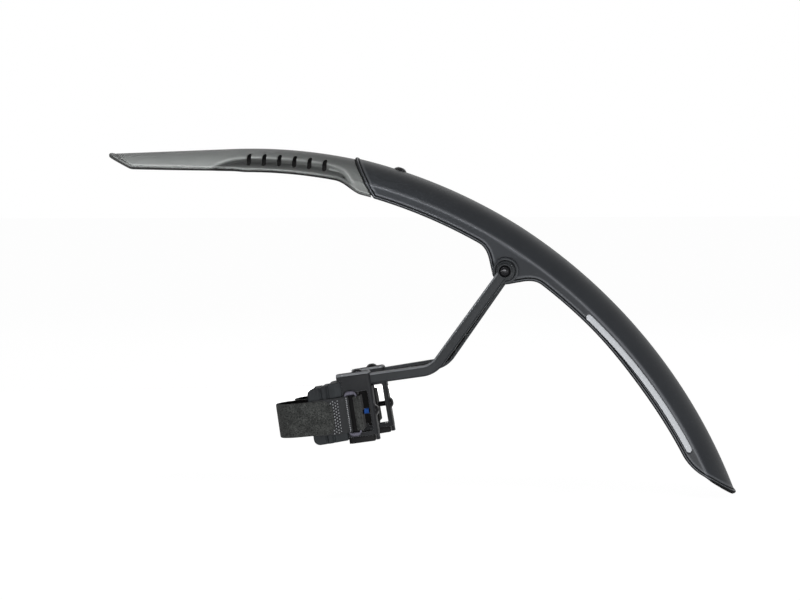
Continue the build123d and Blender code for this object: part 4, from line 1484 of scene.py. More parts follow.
@dataclass(frozen=True)
class Extension:
    """Front extension: slotted nose on its own arc, flared to the rim, with a tongue behind.

    Sizes are in millimetres and degrees. Angles go round the centre of its own arc, depths go down
    from its crown, and a run goes along the crown from the rim's angle.

    Attributes:
        blade: Blade that it slides into.
        step: How far its crown lies under the blade's at the rim.
        kink: Turn of its arc from the blade's at the rim.
        gap: Gap at the rim, along the crown.
        arc_end: Angle at which its arc becomes the straight nose.
        nose_start: Depth of its edge where the nose begins.
        nose_depth: Depth of its edge at the nose cut.
        flare_angles: Angles between which the edge goes down to its depth at the rim.
        edge_light: Painted highlight and shade along the edge, in the order of edge_painted_light.
        ridge: Run and depth of the points that the ridge over the panel passes.
        ridge_highlight: Painted highlight along the ridge, its middle under the ridge and its half width.
        panel_sink: Depth of the panel under the ridge.
        panel_runs: Runs between which the panel's painted shade gets stronger.
        panel_shade: Strength of the panel's painted shade at both.
        shade_from: Offset from the outer face under which the skin is painted shade.
        slot_size: Length and width of a slot.
        slot_lean: Lean of a slot's lower half from upright.
        slot_turn: Share of the arc's turn that the slots follow.
        slot_bend: Slope of a slot's upper half to its lower half.
        slot_reach: How far a slot's cutter goes to either side.
        tongue_overlap: Angle that the tongue goes on in front of the rim.
        tongue_slot: Radius of the tongue's slot and reach of its cutter.
        slide_gap: Gap between the tongue and the blade.
        travel: Angle that the extension slides by.
        skirt_angles: Angles from the rim between which the inner lip lies.
        skirt_set_in: How far the lip is set in under the gap, and in front of it.
        sharp: Angle between faces from which an edge is drawn sharp.
    """

    blade: Blade = Blade()
    crown_r: float = 346.0
    step: float = 0.9
    kink: float = 1.3
    gap: float = 1.2
    arc_end: float = 91.9
    nose_length: float = 85.0
    nose_lean: float = 61.5
    nose_corner: float = 9.0
    edge_depth: float = 15.6
    nose_start: float = 14.5
    nose_depth: float = 10.2
    flare_depth: float = 21.5
    flare_angles: Pair = (79.4, 75.9)
    bead_proud: float = 0.55
    bead_groove: float = 0.06
    edge_light: tuple[float, ...] = (1.7, 0.6, 0.0, 1.1)
    ridge: tuple[Pair, ...] = (
        (-4.0, 19.0), (3.8, 14.0), (7.2, 10.8), (10.8, 8.2), (17.0, 6.7), (24.0, 6.1), (78.0, 6.1),
        (88.0, 6.9), (94.0, 8.1), (101.5, 11.2), (112.0, 16.0))
    ridge_highlight: Triple = (0.34, -0.2, 0.8)
    panel_sink: float = 2.1
    panel_runs: Pair = (12.0, 67.0)
    panel_shade: Pair = (0.24, 0.44)
    shade_from: float = -0.75
    slots: int = 6
    slot_first: float = 89.6
    slot_pitch: float = 1.73
    slot_depth: float = 7.6
    slot_size: Pair = (7.9, 3.0)
    slot_lean: float = -5.0
    slot_turn: float = 0.4
    slot_bend: float = 0.1
    slot_reach: float = 60.0
    tongue_end: float = 61.5
    tongue_overlap: float = 2.2
    tongue_half: float = 20.0
    tongue_slot: Pair = (2.8, 20.0)
    slide_gap: float = 0.35
    travel: float = 6.0
    screw_angle: float = 71.8
    skirt_angles: Pair = (-0.5, 0.9)
    skirt_set_in: Pair = (4.6, 2.0)
    skirt_wall: float = 1.0
    sharp: float = 64.0

    def centre(self) -> Array:
        """Centre of the extension's arc, set so that its crown starts just under the rim."""
        start = polar(self.blade.crown_r - self.step, self.blade.rim_angle)
        return start - polar(self.crown_r, self.blade.rim_angle + self.kink)

    def arc_length(self) -> float:
        """Length of the crown from the rim's angle to the nose."""
        return math.radians(self.arc_end - self.blade.rim_angle) * self.crown_r

    def run_at(self, angle: Array | float) -> Array | float:
        """Run along the crown at an angle about the extension's centre."""
        return np.radians(angle - self.blade.rim_angle) * self.crown_r

    def side_view(self, run: Array, depth: Array) -> Array:
        """Points by their run along the crown and their depth, first on the arc, then straight.

        Args:
            run: Length along the crown from the rim's angle.
            depth: Depth under the crown.

        Returns:
            Points of the side view.
        """
        arc = np.minimum(run, self.arc_length())
        turn = self.blade.rim_angle + np.degrees(arc / self.crown_r)
        radius = (self.crown_r - depth)[..., None]
        straight = np.maximum(run - self.arc_length(), 0.0)[..., None]
        return self.centre() + radius * polar(1.0, turn) + straight * polar(1.0, turn + 90.0)

    def rim_at(self, depth: Array) -> Array:
        """Run at which the end next to the rim reaches a depth, read off the rim's own line.

        Args:
            depth: Depth of each point.

        Returns:
            Run at each depth.
        """
        line = self.blade.cut_line(self.blade.rim_angle, self.blade.rim_lean)
        line = line + self.gap * polar(1.0, self.blade.rim_angle + 90.0)
        radius, angle = to_polar(line - self.centre())
        return np.interp(depth, self.crown_r - radius, self.run_at(angle))

    def nose_at(self, depth: Array) -> Array:
        """Run at which the nose cut reaches a depth."""
        end = self.arc_length() + self.nose_length
        return end - depth * math.tan(math.radians(self.nose_lean))

    def edge_line(self) -> Array:
        """Lower edge as run and depth: flare at the rim, level arc, rising nose, round corner.

        Returns:
            Run and depth of each point.
        """
        arc = self.arc_length()
        corner = np.array([float(self.nose_at(np.array(self.nose_depth))), self.nose_depth])
        tip = np.array([arc + self.nose_length, 0.0])
        nose = corner_arc(np.array([arc, self.nose_start]), corner, tip, self.nose_corner, 16)
        start = float(self.rim_at(np.array(self.flare_depth)))
        run = np.concatenate([np.linspace(start, arc, 160), np.linspace(arc, nose[0, 0], 40)[1:-1]])
        top, foot = (float(self.run_at(angle)) for angle in self.flare_angles)
        flare = smoothstep((top - run) / (top - foot)) * (self.flare_depth - self.edge_depth)
        rise = np.maximum(run - arc, 0.0) / (corner[0] - arc) * (self.nose_start - self.nose_depth)
        rise = rise + smoothstep((run - arc + 14.0) / 14.0) * (self.edge_depth - self.nose_start)
        return np.concatenate([np.stack([run, self.edge_depth + flare - rise], axis=1), nose])

    def outline(self) -> Array:
        """Beaded edge in the side view: the lower edge and the nose cut, to past the crown.

        Returns:
            Points of the edge.
        """
        lean = math.tan(math.radians(self.nose_lean))
        beyond = np.array([[self.arc_length() + self.nose_length + 30.0, -30.0 / lean]])
        run, depth = np.concatenate([self.edge_line(), beyond]).T
        return self.side_view(run, depth)

    def unrolled(self, points: Array) -> tuple[Array, Array]:
        """Run and depth of points in the side view, the other way round from side_view.

        Args:
            points: Points of the side view.

        Returns:
            Run and depth of each point.
        """
        offset = points - self.centre()
        radius, angle = to_polar(offset)
        ahead = offset @ polar(1.0, self.arc_end + 90.0)
        straight = ahead > 0.0
        radius = np.where(straight, offset @ polar(1.0, self.arc_end), radius)
        return np.where(straight, self.arc_length() + ahead, self.run_at(angle)), self.crown_r - radius

    def painted_light(self, points: Array) -> Array:
        """Painted light of the skin: painted highlights along its bead and ridge, painted shade in the panel
        and inside.

        Args:
            points: Points of the skin's outer and inner face.

        Returns:
            Painted light at each point; those well inside the outer face, found by going back from a point
            to its place before the panel was sunk, are on the inner face, which is all painted shade.
        """
        flat = points[:, [0, 2]]
        run, depth = self.unrolled(flat)
        line = self.edge_line()
        edge = np.interp(run, line[:, 0], line[:, 1])
        below, share, room = self.under_ridge(run, depth, edge)
        fade = smoothstep((room - 1.0) / 3.0) * smoothstep((run + 1.0) / 8.0)
        panel = smoothstep(below / 0.9) * (1.0 - 0.65 * smoothstep(share * 1.5 - 0.5))
        panel = panel * np.interp(run, self.panel_runs, self.panel_shade)
        # Painted highlights on bead and ridge; painted shade along the rim and in the panel
        amount, middle, width = self.ridge_highlight
        painted_light = 0.5 + edge_painted_light(distance_to_line(flat, self.outline()), *self.edge_light)
        painted_light = painted_light + fade * (amount * hump(below, middle, width) - panel)
        blade = self.blade
        arch = np.hypot(blade.arch_r - depth, points[:, 1]) - blade.arch_r
        flange = np.abs(points[:, 1]) - self.section(self.reach_of(depth))[1]
        level = depth
        for _ in range(8):
            up = self.section(self.reach_of(level))[2]
            level = (level + depth - up * self.panel(run, level, edge)) / 2.0
        offset = np.where(depth < blade.crease() - 1.0, arch, flange) + self.panel(run, level, edge)
        # Points on the inner face get 0, a full painted shade
        return np.where(offset > self.shade_from, np.clip(painted_light, 0.0, 1.0), 0.0)

    def section(self, reach: Array) -> tuple[Array, Array, Array, Array]:
        """Section of the skin by the length along it from the crown: an arch, then a flange.

        Args:
            reach: Length along the section.

        Returns:
            Depth, half width, and the outward direction's parts up and across.
        """
        blade = self.blade
        limit = math.radians(blade.half_angle)
        turn = np.minimum(reach / blade.arch_r, limit)
        below = np.maximum(reach - limit * blade.arch_r, 0.0)
        flange = math.atan(blade.slope)
        depth = blade.arch_r * (1.0 - np.cos(turn)) + below * math.cos(flange)
        width = blade.arch_r * np.sin(turn) + below * math.sin(flange)
        ease = smoothstep((reach - limit * blade.arch_r + 4.0) / 8.0)
        lean = turn * (1.0 - ease) + (np.pi / 2.0 - flange) * ease
        return depth, width, np.cos(lean), np.sin(lean)

    def reach_of(self, depth: Array) -> Array:
        """Length along the section at which it reaches a depth."""
        table = np.linspace(0.0, 48.0, 2000)
        return np.interp(depth, self.section(table)[0], table)

    def ridge_depth(self, run: Array) -> tuple[Array, Array]:
        """Depth of the ridge over the panel along the crown, rounded by a sliding mean, and its slope.

        Args:
            run: Run of each point.

        Returns:
            Depth and slope of the ridge at each run.
        """
        table = np.arange(-40.0, 200.0, 0.5)
        knots = np.array(self.ridge)
        plain = np.interp(table, knots[:, 0], knots[:, 1])
        window = np.hanning(15)
        soft = np.convolve(np.pad(plain, 7, mode="edge"), window / window.sum(), mode="valid")
        slope = np.gradient(soft, table)
        return np.interp(run, table, soft), np.interp(run, table, slope)

    def under_ridge(self, run: Array, depth: Array, edge: Array) -> tuple[Array, Array, Array]:
        """Where points lie between the ridge and the edge.

        Args:
            run: Run of each point along the crown.
            depth: Depth of each point.
            edge: Depth of the edge at each point's run.

        Returns:
            Distance under the ridge, share of the way from it to the edge, and room between them.
        """
        ridge, slope = self.ridge_depth(run)
        room = np.maximum(edge - ridge, 0.2)
        return (depth - ridge) / np.sqrt(1.0 + slope**2), (depth - ridge) / room, room

    def panel(self, run: Array, depth: Array, edge: Array) -> Array:
        """How far the panel lies under the plain skin.

        It drops off just below the ridge and comes back out towards the edge, and fades where
        the ridge nears the edge or the rim.

        Args:
            run: Run of each point along the crown.
            depth: Depth of each point.
            edge: Depth of the edge at each point's run.

        Returns:
            Depth of the panel at each point.
        """
        below, share, room = self.under_ridge(run, depth, edge)
        fade = smoothstep((room - 1.0) / 4.0) * smoothstep((run + 1.0) / 10.0)
        return self.panel_sink * fade * smoothstep(below / 2.0) * (1.0 - 0.85 * smoothstep(share))

    def skin(self) -> Surface:
        """Moulded skin: stations lean from the rim cut to the nose cut, rows go down the section.

        Returns:
            The skin.
        """
        height = self.blade.bead_height
        total = self.arc_length() + self.nose_length
        share = stations(height, (self.blade.rim_lean, self.nose_lean), total, 160)
        line = self.edge_line()
        start = self.rim_at(line[:, 1])
        line_share = (line[:, 0] - start) / (self.nose_at(line[:, 1]) - start)
        edge = np.interp(share, line_share, line[:, 1])
        reach_end = self.reach_of(edge)[:, None]
        rows = edge_rows(height)
        main = np.linspace(0.0, 1.0, 46)[:-1] * (reach_end - rows[-1])
        reach = np.concatenate([main, reach_end - rows[::-1]], axis=1)
        depth, width, up, across = self.section(reach)
        start = self.rim_at(depth)
        run = start + share[:, None] * (self.nose_at(depth) - start)
        distance = distance_to_line(self.side_view(run, depth), self.outline())
        sink = self.panel(run, depth, edge[:, None])
        lift = bead_lift(distance, height, self.bead_proud, self.bead_groove) - sink
        inset = inner_lift(distance, self.blade.wall) - sink
        return shell(lambda offset: self.side_view(run, depth - up * offset), width, across, (lift, inset))

    def slot_cutters(self) -> Surface:
        """Prisms of the slots: pill outlines in the side view, drawn out across the whole width.

        Returns:
            All the prisms.
        """
        length, width = self.slot_size
        cap = half_circle(width / 2.0, 10)
        straight = np.array([(length - width) / 2.0, 0.0])
        middle = np.array([[0.0, width / 2.0]])
        pill = np.concatenate([cap + straight, middle, -cap - straight, -middle])
        bend = pill[:, 1:] - self.slot_bend * np.maximum(pill[:, :1], 0.0)
        parts = []
        for number in range(self.slots):
            angle = self.slot_first - number * self.slot_pitch
            lean = polar(1.0, 90.0 - self.slot_lean - self.slot_turn * (90.0 - angle))
            square = np.array([-lean[1], lean[0]])
            spot = self.centre() + polar(self.crown_r - self.slot_depth, angle)
            outline = in_space(spot + pill[:, :1] * lean + bend * square, 0.0)
            parts.append(prism(outline, np.array([0.0, self.slot_reach, 0.0])))
        return join(parts)

    def tongue(self) -> Surface:
        """Tongue that slides under the blade: part of an arch about the axle, with a long slot.

        Returns:
            The tongue.
        """
        blade = self.blade
        angle = np.linspace(self.tongue_end, blade.rim_angle + self.tongue_overlap, 60)[:, None]
        y = np.linspace(-self.tongue_half, self.tongue_half, 41)
        centre_r = blade.crown_r - blade.arch_r
        grids = []
        for inset in (blade.wall + self.slide_gap, 2.0 * blade.wall + self.slide_gap):
            radius = centre_r + np.sqrt((blade.arch_r - inset) ** 2 - y**2)
            grids.append(in_space(polar(radius, angle), y))
        middle = self.screw_angle - self.travel / 2.0
        run = 2.0 * blade.crown_r * math.sin(math.radians(self.travel / 2.0))
        slot_r, slot_reach = self.tongue_slot
        cap = half_circle(slot_r, 12)
        pill = np.concatenate([cap + [run / 2.0, 0.0], -cap - [run / 2.0, 0.0]])
        flat = polar(blade.crown_r, middle) + pill[:, :1] * polar(1.0, middle + 90.0)
        reach = slot_reach * in_space(polar(1.0, middle), 0.0)
        return carve(wall_between(*grids), prism(in_space(flat, pill[:, 1]), reach))

    def skirt(self) -> Surface:
        """Thin lip that closes the gap at the rim from inside: the blade's section, set in.

        It lies deep under the gap and comes out to the extension's own wall in front of it.

        Returns:
            The lip.
        """
        blade = self.blade
        turn = np.radians(np.linspace(0.0, blade.half_angle + 1.0, 24))
        arch = blade.arch_r * (1.0 - np.cos(turn))
        flange = np.linspace(14.6, blade.edge_depth - 1.6, 14)
        first, last = self.skirt_angles
        past = np.linspace(first, last, 8)[:, None]
        depth = np.broadcast_to(np.concatenate([arch, flange]), (8, len(arch) + len(flange)))
        angle = blade.rim_at(depth) + past
        up, across = blade.plain_normal(depth)
        deep, shallow = self.skirt_set_in
        set_in = deep - (deep - shallow) * smoothstep((past - 0.3) / 0.5)
        return shell(lambda offset: polar(blade.crown_r - depth + up * offset, angle),
                     blade.half_width(depth), across, (-set_in, -set_in - self.skirt_wall))

    def build(self, wheel: Frame) -> None:
        """Make and dress the extension, with its slots cut and its tongue joined on.

        Args:
            wheel: Frame about the wheel's axle.
        """
        body = carve(self.skin(), self.slot_cutters())
        body.tone = self.painted_light(body.points)
        surface = join([body, self.tongue(), self.skirt()])
        make_piece("extension_moulding", surface, wheel, "extension", [NOSE], ["front_extension"], self.sharp)


@dataclass(frozen=True)
class ButtonScrew:
    """Button-head screw with a hexagon socket and a cut thread, along z with its seat at zero.

    Attributes:
        shank_r: Outer radius of the thread.
        head_r: Radius of the head.
        head_height: Height of the head.
        socket: Width of the socket across its flats.
        pitch: Pitch of the thread.
    """

    shank_r: float
    head_r: float
    head_height: float
    socket: float
    pitch: float

    def surface(self, length: float, patch: Pair | None = None) -> Surface:
        """Rings from the socket's floor over the dome and down the thread to the tip.

        A ring's radius is a circle, or in the socket a hexagon. On the thread it goes in and out
        with the height less the turn, which makes one helix.

        Args:
            length: Length of the shank.
            patch: Heights between which the thread has its second finish.

        Returns:
            The closed surface.
        """
        turn = np.linspace(0.0, 2.0 * np.pi, 48, endpoint=False)
        flat = np.mod(turn + np.pi / 6.0, np.pi / 3.0) - np.pi / 6.0
        hexagon = self.socket / 2.0 / np.cos(flat)
        dome_r = (self.head_r**2 + self.head_height**2) / (2.0 * self.head_height)
        lip = self.socket / 2.0 / math.cos(math.pi / 6.0) + 0.22
        dome = np.linspace(lip, self.head_r - 0.12, 12)
        dome_z = self.head_height - dome_r + np.sqrt(dome_r**2 - dome**2)
        floor = 0.4 * self.head_height
        ones = np.ones_like(turn)
        radii = [0.0 * ones, 0.6 * hexagon, hexagon, hexagon]
        heights = [floor - 0.15, floor, floor, dome_z[0] - 0.12]
        rows = max(int(length / self.pitch * 6.0), 8)
        depth = np.linspace(0.3, length - 0.5, rows)
        wave = np.mod(depth[:, None] / self.pitch - turn / (2.0 * np.pi), 1.0)
        groove = 0.55 * self.pitch * (1.0 - np.abs(2.0 * wave - 1.0))
        ease = smoothstep(np.minimum(depth - 0.3, length - 0.5 - depth) / self.pitch)[:, None]
        thread = self.shank_r - groove * ease
        plain = list(zip(dome, dome_z))
        plain += [(self.head_r, 0.3), (self.head_r, 0.12), (self.head_r - 0.12, 0.0)]
        plain += [(self.shank_r + 0.1, 0.0), (self.shank_r, -0.1)]
        end = [(self.shank_r - 0.5, -length), (0.0, -length)]
        radius = np.concatenate([radii, [r * ones for r, _ in plain], thread, [r * ones for r, _ in end]])
        height = np.concatenate([heights, [z for _, z in plain], -depth, [z for _, z in end]])[:, None]
        surface = tube(turned(radius, turn, height))
        if patch:
            level = np.repeat((height[:-1, 0] + height[1:, 0]) / 2.0, len(turn))
            paint = ((level > patch[0]) & (level < patch[1])).astype(int)
            surface.paint = np.concatenate([paint, [0, 0]])
        return surface


M4 = ButtonScrew(shank_r=2.0, head_r=3.8, head_height=2.2, socket=2.5, pitch=0.7)
M5 = ButtonScrew(shank_r=2.5, head_r=4.75, head_height=2.75, socket=3.0, pitch=0.8)


@dataclass(frozen=True)
class Fastenings:
    """Crown screw, its saddle and nut, and the pivots of both stays.

    Attributes:
        extension: Extension that the crown screw clamps.
        spot_depth: Depth of the crown screw's seat under the crown.
        crown_length: Length of the crown screw.
        bolt_seat: Distance of a pivot bolt's seat from the middle plane.
        bolt_length: Length of a pivot bolt.
    """

    extension: Extension = Extension()
    spot_depth: float = 0.5
    crown_length: float = 12.55
    bolt_seat: float = 38.6
    bolt_length: float = 14.0

    def build(self, wheel: Frame) -> None:
        """Make and dress the screws, and dress what they hold.

        Args:
            wheel: Frame about the wheel's axle.
        """
        blade = self.extension.blade
        angle = self.extension.screw_angle
        x, z = polar(blade.crown_r - self.spot_depth, angle).tolist()
        out_x, out_z = polar(1.0, angle).tolist()
        crown = wheel.child((x, 0.0, z), (out_z, 0.0, -out_x), (0.0, 1.0, 0.0), (out_x, 0.0, out_z))
        make_piece("crown_screw", M5.surface(self.crown_length), crown, "blade", [OXIDE],
                   ["extension_screw"], SCREW_SHARP)
        edge_rounded("extension_saddle", "blade", BLOCK, 0.3)
        edge_rounded("extension_nut", "blade", OXIDE, 0.3)
        x, z = polar(blade.crown_r - blade.pivot_depth, blade.pivot_angle).tolist()
        for side in Side:
            out = -side.across
            place = (x, out * self.bolt_seat, z)
            seat = wheel.child(place, (1.0, 0.0, 0.0), (0.0, 0.0, 1.0), (0.0, out, 0.0))
            make_piece(side.node("pivot_screw"), M4.surface(self.bolt_length), seat, "blade", [OXIDE],
                       [side.node("pivot_bolt")], SCREW_SHARP)
            edge_rounded(side.node("pivot_washer"), "blade", WASHER, 0.1)
            edge_rounded(side.node("pivot_insert"), "blade", BRASS, 0.15)


@dataclass(frozen=True)
class Pad:
    """Rubber pad: a soft block bent round the fork leg, with grooves between its lobes.

    Places are along the clamp, in millimetres.

    Attributes:
        leg_x: Place of the fork leg.
        half_width: Half width at the lobes.
        waist: Place and half width of the waist.
        shoulder_x: Place from which the lobes have their full width.
        top: Heights of the top at the front, after each groove and at the rear.
        foot: Heights of the foot at the front and at the rear.
        corner: Radius of the front corners in the side view.
        grooves: Places of the grooves.
        groove_size: Width and depth of a groove.
        groove_top: Depth of a groove in the top.
        step_half: Half length of a step in the top.
        step_rise: Rise of the top up to a step.
        soft: Radius of its edges.
    """

    front: float = -31.2
    rear: float = -8.7
    leg_x: float = -38.5
    leg_r: float = 13.0
    half_width: float = 11.4
    waist: Pair = (-13.0, 7.6)
    rear_half: float = 6.4
    shoulder_x: float = -20.0
    top: tuple[float, float, float, float] = (-0.9, -0.3, 0.5, 0.6)
    foot: Pair = (-38.4, -38.2)
    corner: float = 4.4
    grooves: Pair = (-22.2, -17.6)
    groove_size: Pair = (1.7, 1.15)
    groove_top: float = 0.7
    step_half: float = 0.6
    step_rise: float = 0.1
    soft: float = 1.1

    def groove(self, x: Array) -> Array:
        """Share of a groove's depth along the clamp: round hollows at the grooves' places."""
        away = np.min([np.abs(x - place) for place in self.grooves], axis=0)
        return 1.0 - smoothstep(away / (0.75 * self.groove_size[0]))

    def width_at(self, x: Array) -> Array:
        """Half width along the clamp, straight between rear, waist and shoulder, less the grooves."""
        places = [self.front, self.shoulder_x, self.waist[0], self.rear]
        halves = [self.half_width, self.half_width, self.waist[1], self.rear_half]
        return np.interp(x, places, halves) - self.groove_size[1] * self.groove(x)

    def corner_drop(self, x: Array) -> Array:
        """How far the front corner's arc lies inside the square corner."""
        inside = np.clip(self.corner - (x - self.front), 0.0, self.corner)
        return self.corner - np.sqrt(self.corner**2 - inside**2)

    def top_at(self, x: Array) -> Array:
        """Height of the top: one step up after each groove, rounded down at the front corner.

        Args:
            x: Places along the clamp.

        Returns:
            Height at each place.
        """
        front, middle, after, rear = self.top
        first, second = self.grooves
        half = self.step_half
        rise = self.step_rise
        places = [self.front, first - half, first + half, second - half, second + half, self.rear]
        level = np.interp(x, places, [front, front + rise, middle, middle + rise, after, rear])
        return level - self.groove_top * self.groove(x) - self.corner_drop(x)

    def foot_at(self, x: Array) -> Array:
        """Height of the foot, straight from front to rear, rounded up at the front corner."""
        return np.interp(x, [self.front, self.rear], self.foot) + self.corner_drop(x)

    def surface(self) -> Surface:
        """Soft block whose front is bent to the leg and whose sides and top follow the lobes.

        Returns:
            The pad.
        """
        size = np.array([self.rear - self.front, 2.0 * self.half_width, self.top[3] - self.foot[1]])
        block = soft_block(size, self.soft, (96, 30, 36))
        share = block.points / size + 0.5
        across = 2.0 * share[:, 1] - 1.0
        arc = self.leg_r**2 - np.minimum((across * self.half_width) ** 2, self.leg_r**2)
        start = np.maximum(self.leg_x + np.sqrt(arc), self.front)
        x = start + share[:, 0] * (self.rear - start)
        y = across * self.width_at(x)
        foot = self.foot_at(x)
        z = foot + share[:, 2] * (self.top_at(x) - foot)
        return Surface(np.stack([x, y, z], axis=1), block.faces)


def soft_block(size: Array, radius: float, counts: tuple[int, int, int]) -> Surface:
    """Block about zero with round edges: each point is moved to a radius from the inner block.

    Args:
        size: Length of its sides.
        radius: Radius of its edges.
        counts: Number of steps along each side, between the rows in the edges.

    Returns:
        The block, with double points along its edges.
    """
    half = size / 2.0
    lines = []
    for axis in range(3):
        inner = np.linspace(-half[axis] + radius, half[axis] - radius, counts[axis] + 1)
        soft = radius * np.array([0.0, 0.3, 0.65])
        lines.append(np.concatenate([-half[axis] + soft, inner, half[axis] - soft[::-1]]))
    points = []
    faces = []
    start = 0
    for axis in range(3):
        first, second = (axis + 1) % 3, (axis + 2) % 3
        u, v = np.meshgrid(lines[first], lines[second], indexing="ij")
        for sign in (-1.0, 1.0):
            grid = np.empty((*u.shape, 3))
            grid[..., axis] = sign * half[axis]
            grid[..., first] = u
            grid[..., second] = v
            points.append(grid.reshape(-1, 3))
            faces.append(grid_faces(*u.shape) + start)
            start += u.size
    flat = np.concatenate(points)
    inner = np.clip(flat, -half + radius, half - radius)
    away = flat - inner
    length = np.linalg.norm(away, axis=1, keepdims=True)
    return Surface(inner + away / length * radius, np.concatenate(faces).tolist())


@dataclass(frozen=True)
class Webbing:
    """Strap round the fork leg and the hook tab that it closes on, in millimetres of the clamp.

    Attributes:
        level: Height of the webbing's middle.
        rise: Slope at which the strap rises round the fork leg.
        rise_from: Place along the clamp from which it rises.
        end_r: Radius of the free end's corners.
        strap_route: Corners of the strap from above, each with its radius.
        tab_route: Corners of the tab from above, each with its radius.
        plain_from: Place along and across the clamp past which the strap gets the back's plain finish as
            painted shade.
        hook_field: First and last place of the hooks along the clamp.
        hook_r: Radius of a hook's head.
        fold_row: Place along and across the clamp of the row of hooks on the tab's fold.
        fold_half: Half length of that row.
    """

    level: float = -21.0
    width: float = 22.4
    rise: float = 0.045
    rise_from: float = -15.0
    thick: float = 1.4
    end_r: float = 6.5
    strap_route: tuple[Triple, ...] = (
        (-1.2, -4.8, 0.0), (-1.2, -9.9, 1.59), (2.0, -9.9, 1.59), (2.0, 6.9, 1.2), (-7.5, 6.9, 3.0),
        (-13.0, 9.0, 3.0), (-20.0, 13.7, 3.0), (-53.6, 13.7, 13.69), (-53.6, -13.7, 13.69),
        (-20.0, -13.7, 6.0), (-15.5, -12.76, 0.0))
    tab_width: float = 24.0
    tab_thick: float = 1.2
    tab_route: tuple[Triple, ...] = (
        (-13.0, -9.44, 0.0), (-11.0, -9.02, 0.8), (-8.1, -6.8, 0.8), (-5.4, -6.8, 1.49), (-5.4, -9.8, 1.49),
        (-8.5, -9.8, 1.0), (-20.0, -12.2, 4.0), (-28.0, -12.2, 0.0))
    plain_from: Pair = (-14.0, -6.0)
    hook_field: Pair = (-16.4, -11.0)
    hook_pitch: float = 2.0
    hook_r: float = 0.42
    fold_row: Pair = (-6.0, -10.15)
    fold_half: float = 10.8
    fold_pitch: float = 1.2

    def band(self, line: Array, half: Array, thick: float) -> Surface:
        """Band of webbing: a flat ring with round borders, carried along a line seen from above.

        Args:
            line: Points of its middle line.
            half: Half width at each point.
            thick: Thickness.

        Returns:
            The band, with its length and height as flat coordinates and a second, plain finish on
            its back, and as painted shade on its run inside the clamp.
        """
        tangent = np.gradient(line, axis=0)
        tangent /= np.linalg.norm(tangent, axis=1, keepdims=True)
        normal = np.stack([tangent[:, 1], -tangent[:, 0]], axis=1)
        height = np.array([-1.0, -0.97, -0.9, -0.6, -0.2, 0.2, 0.6, 0.9, 0.97, 1.0])
        offset = np.array([0.25, 0.8, 1.0, 1.0, 1.0, 1.0, 1.0, 1.0, 0.8, 0.25])
        ring_height = np.concatenate([height, height[::-1]])
        ring_offset = np.concatenate([offset, -offset[::-1]]) * thick / 2.0
        flat = line[:, None, :] + normal[:, None, :] * ring_offset[None, :, None]
        z = half[:, None] * ring_height
        uv = np.stack(np.broadcast_arrays(run_along(line)[:, None], z), axis=-1).reshape(-1, 2)
        level = self.level + self.rise * np.maximum(self.rise_from - line[:, :1], 0.0)
        band = tube(np.concatenate([flat, (level + z)[..., None]], axis=-1), uv)
        back = np.arange(len(ring_height)) >= len(height)
        # The run inside the clamp gets the plain black finish as painted shade
        shaded_inside = np.all(line[:-1] > self.plain_from, axis=1)
        band.paint = np.concatenate([(shaded_inside[:, None] | back).ravel(), [0, 0]])
        return band

    def strap(self) -> tuple[Surface, float]:
        """Strap with its rounded free end, and its length.

        Returns:
            The strap, and its length when flat.
        """
        line = rounded_path(self.strap_route, 0.4)
        length = float(run_along(line)[-1])
        left = np.linspace(length, 0.0, len(line))
        inside = np.clip(self.end_r - left, 0.0, self.end_r * 0.999)
        half = self.width / 2.0 - (self.end_r - np.sqrt(self.end_r**2 - inside**2))
        return self.band(line, half, self.thick), length

    def tab(self) -> tuple[Surface, float]:
        """Hook tab folded round the ring, and its length.

        Returns:
            The tab, and its length when flat.
        """
        line = rounded_path(self.tab_route, 0.3)
        half = np.full(len(line), self.tab_width / 2.0)
        band = self.band(line, half, self.tab_thick)
        band.paint = None
        return band, float(run_along(line)[-1])

    def hooks(self) -> Surface:
        """Hooks on the tab's outer face: mushroom heads in rows, every other row shifted.

        A head is a half ball on a short stem, drawn a little large so that the rows show.

        Returns:
            All the hooks.
        """
        first, last = self.hook_field
        x = np.arange(first, last, self.hook_pitch * 0.75)
        z = np.arange(-self.tab_width / 2.0 + 1.0, self.tab_width / 2.0 - 1.4, self.hook_pitch)
        spot_x, spot_z = np.meshgrid(x, z, indexing="ij")
        spot_z = spot_z + self.hook_pitch / 2.0 * (np.arange(len(x)) % 2)[:, None]
        start, end = self.tab_route[5], self.tab_route[6]
        slope = (end[1] - start[1]) / (end[0] - start[0])
        face = start[1] + (spot_x - start[0]) * slope - self.tab_thick / 2.0
        spots = np.stack([spot_x, face, self.level + spot_z], axis=-1).reshape(-1, 3)
        fold_z = self.level + np.arange(-self.fold_half, self.fold_half + 0.1, self.fold_pitch)
        fold = np.stack(np.broadcast_arrays(*self.fold_row, fold_z), axis=-1)
        spots = np.concatenate([spots, fold])
        radius = self.hook_r * np.array([0.5, 0.5, 1.0, 0.92, 0.6, 0.05])
        height = np.array([-0.1, 0.35, 0.4, 0.6, 0.75, 0.82])
        turn = np.linspace(0.0, 2.0 * np.pi, 8, endpoint=False)
        head = tube(in_space(turned(radius[:, None], turn, 0.0), -height[:, None]))
        return join([Surface(head.points + spot, head.faces) for spot in spots])


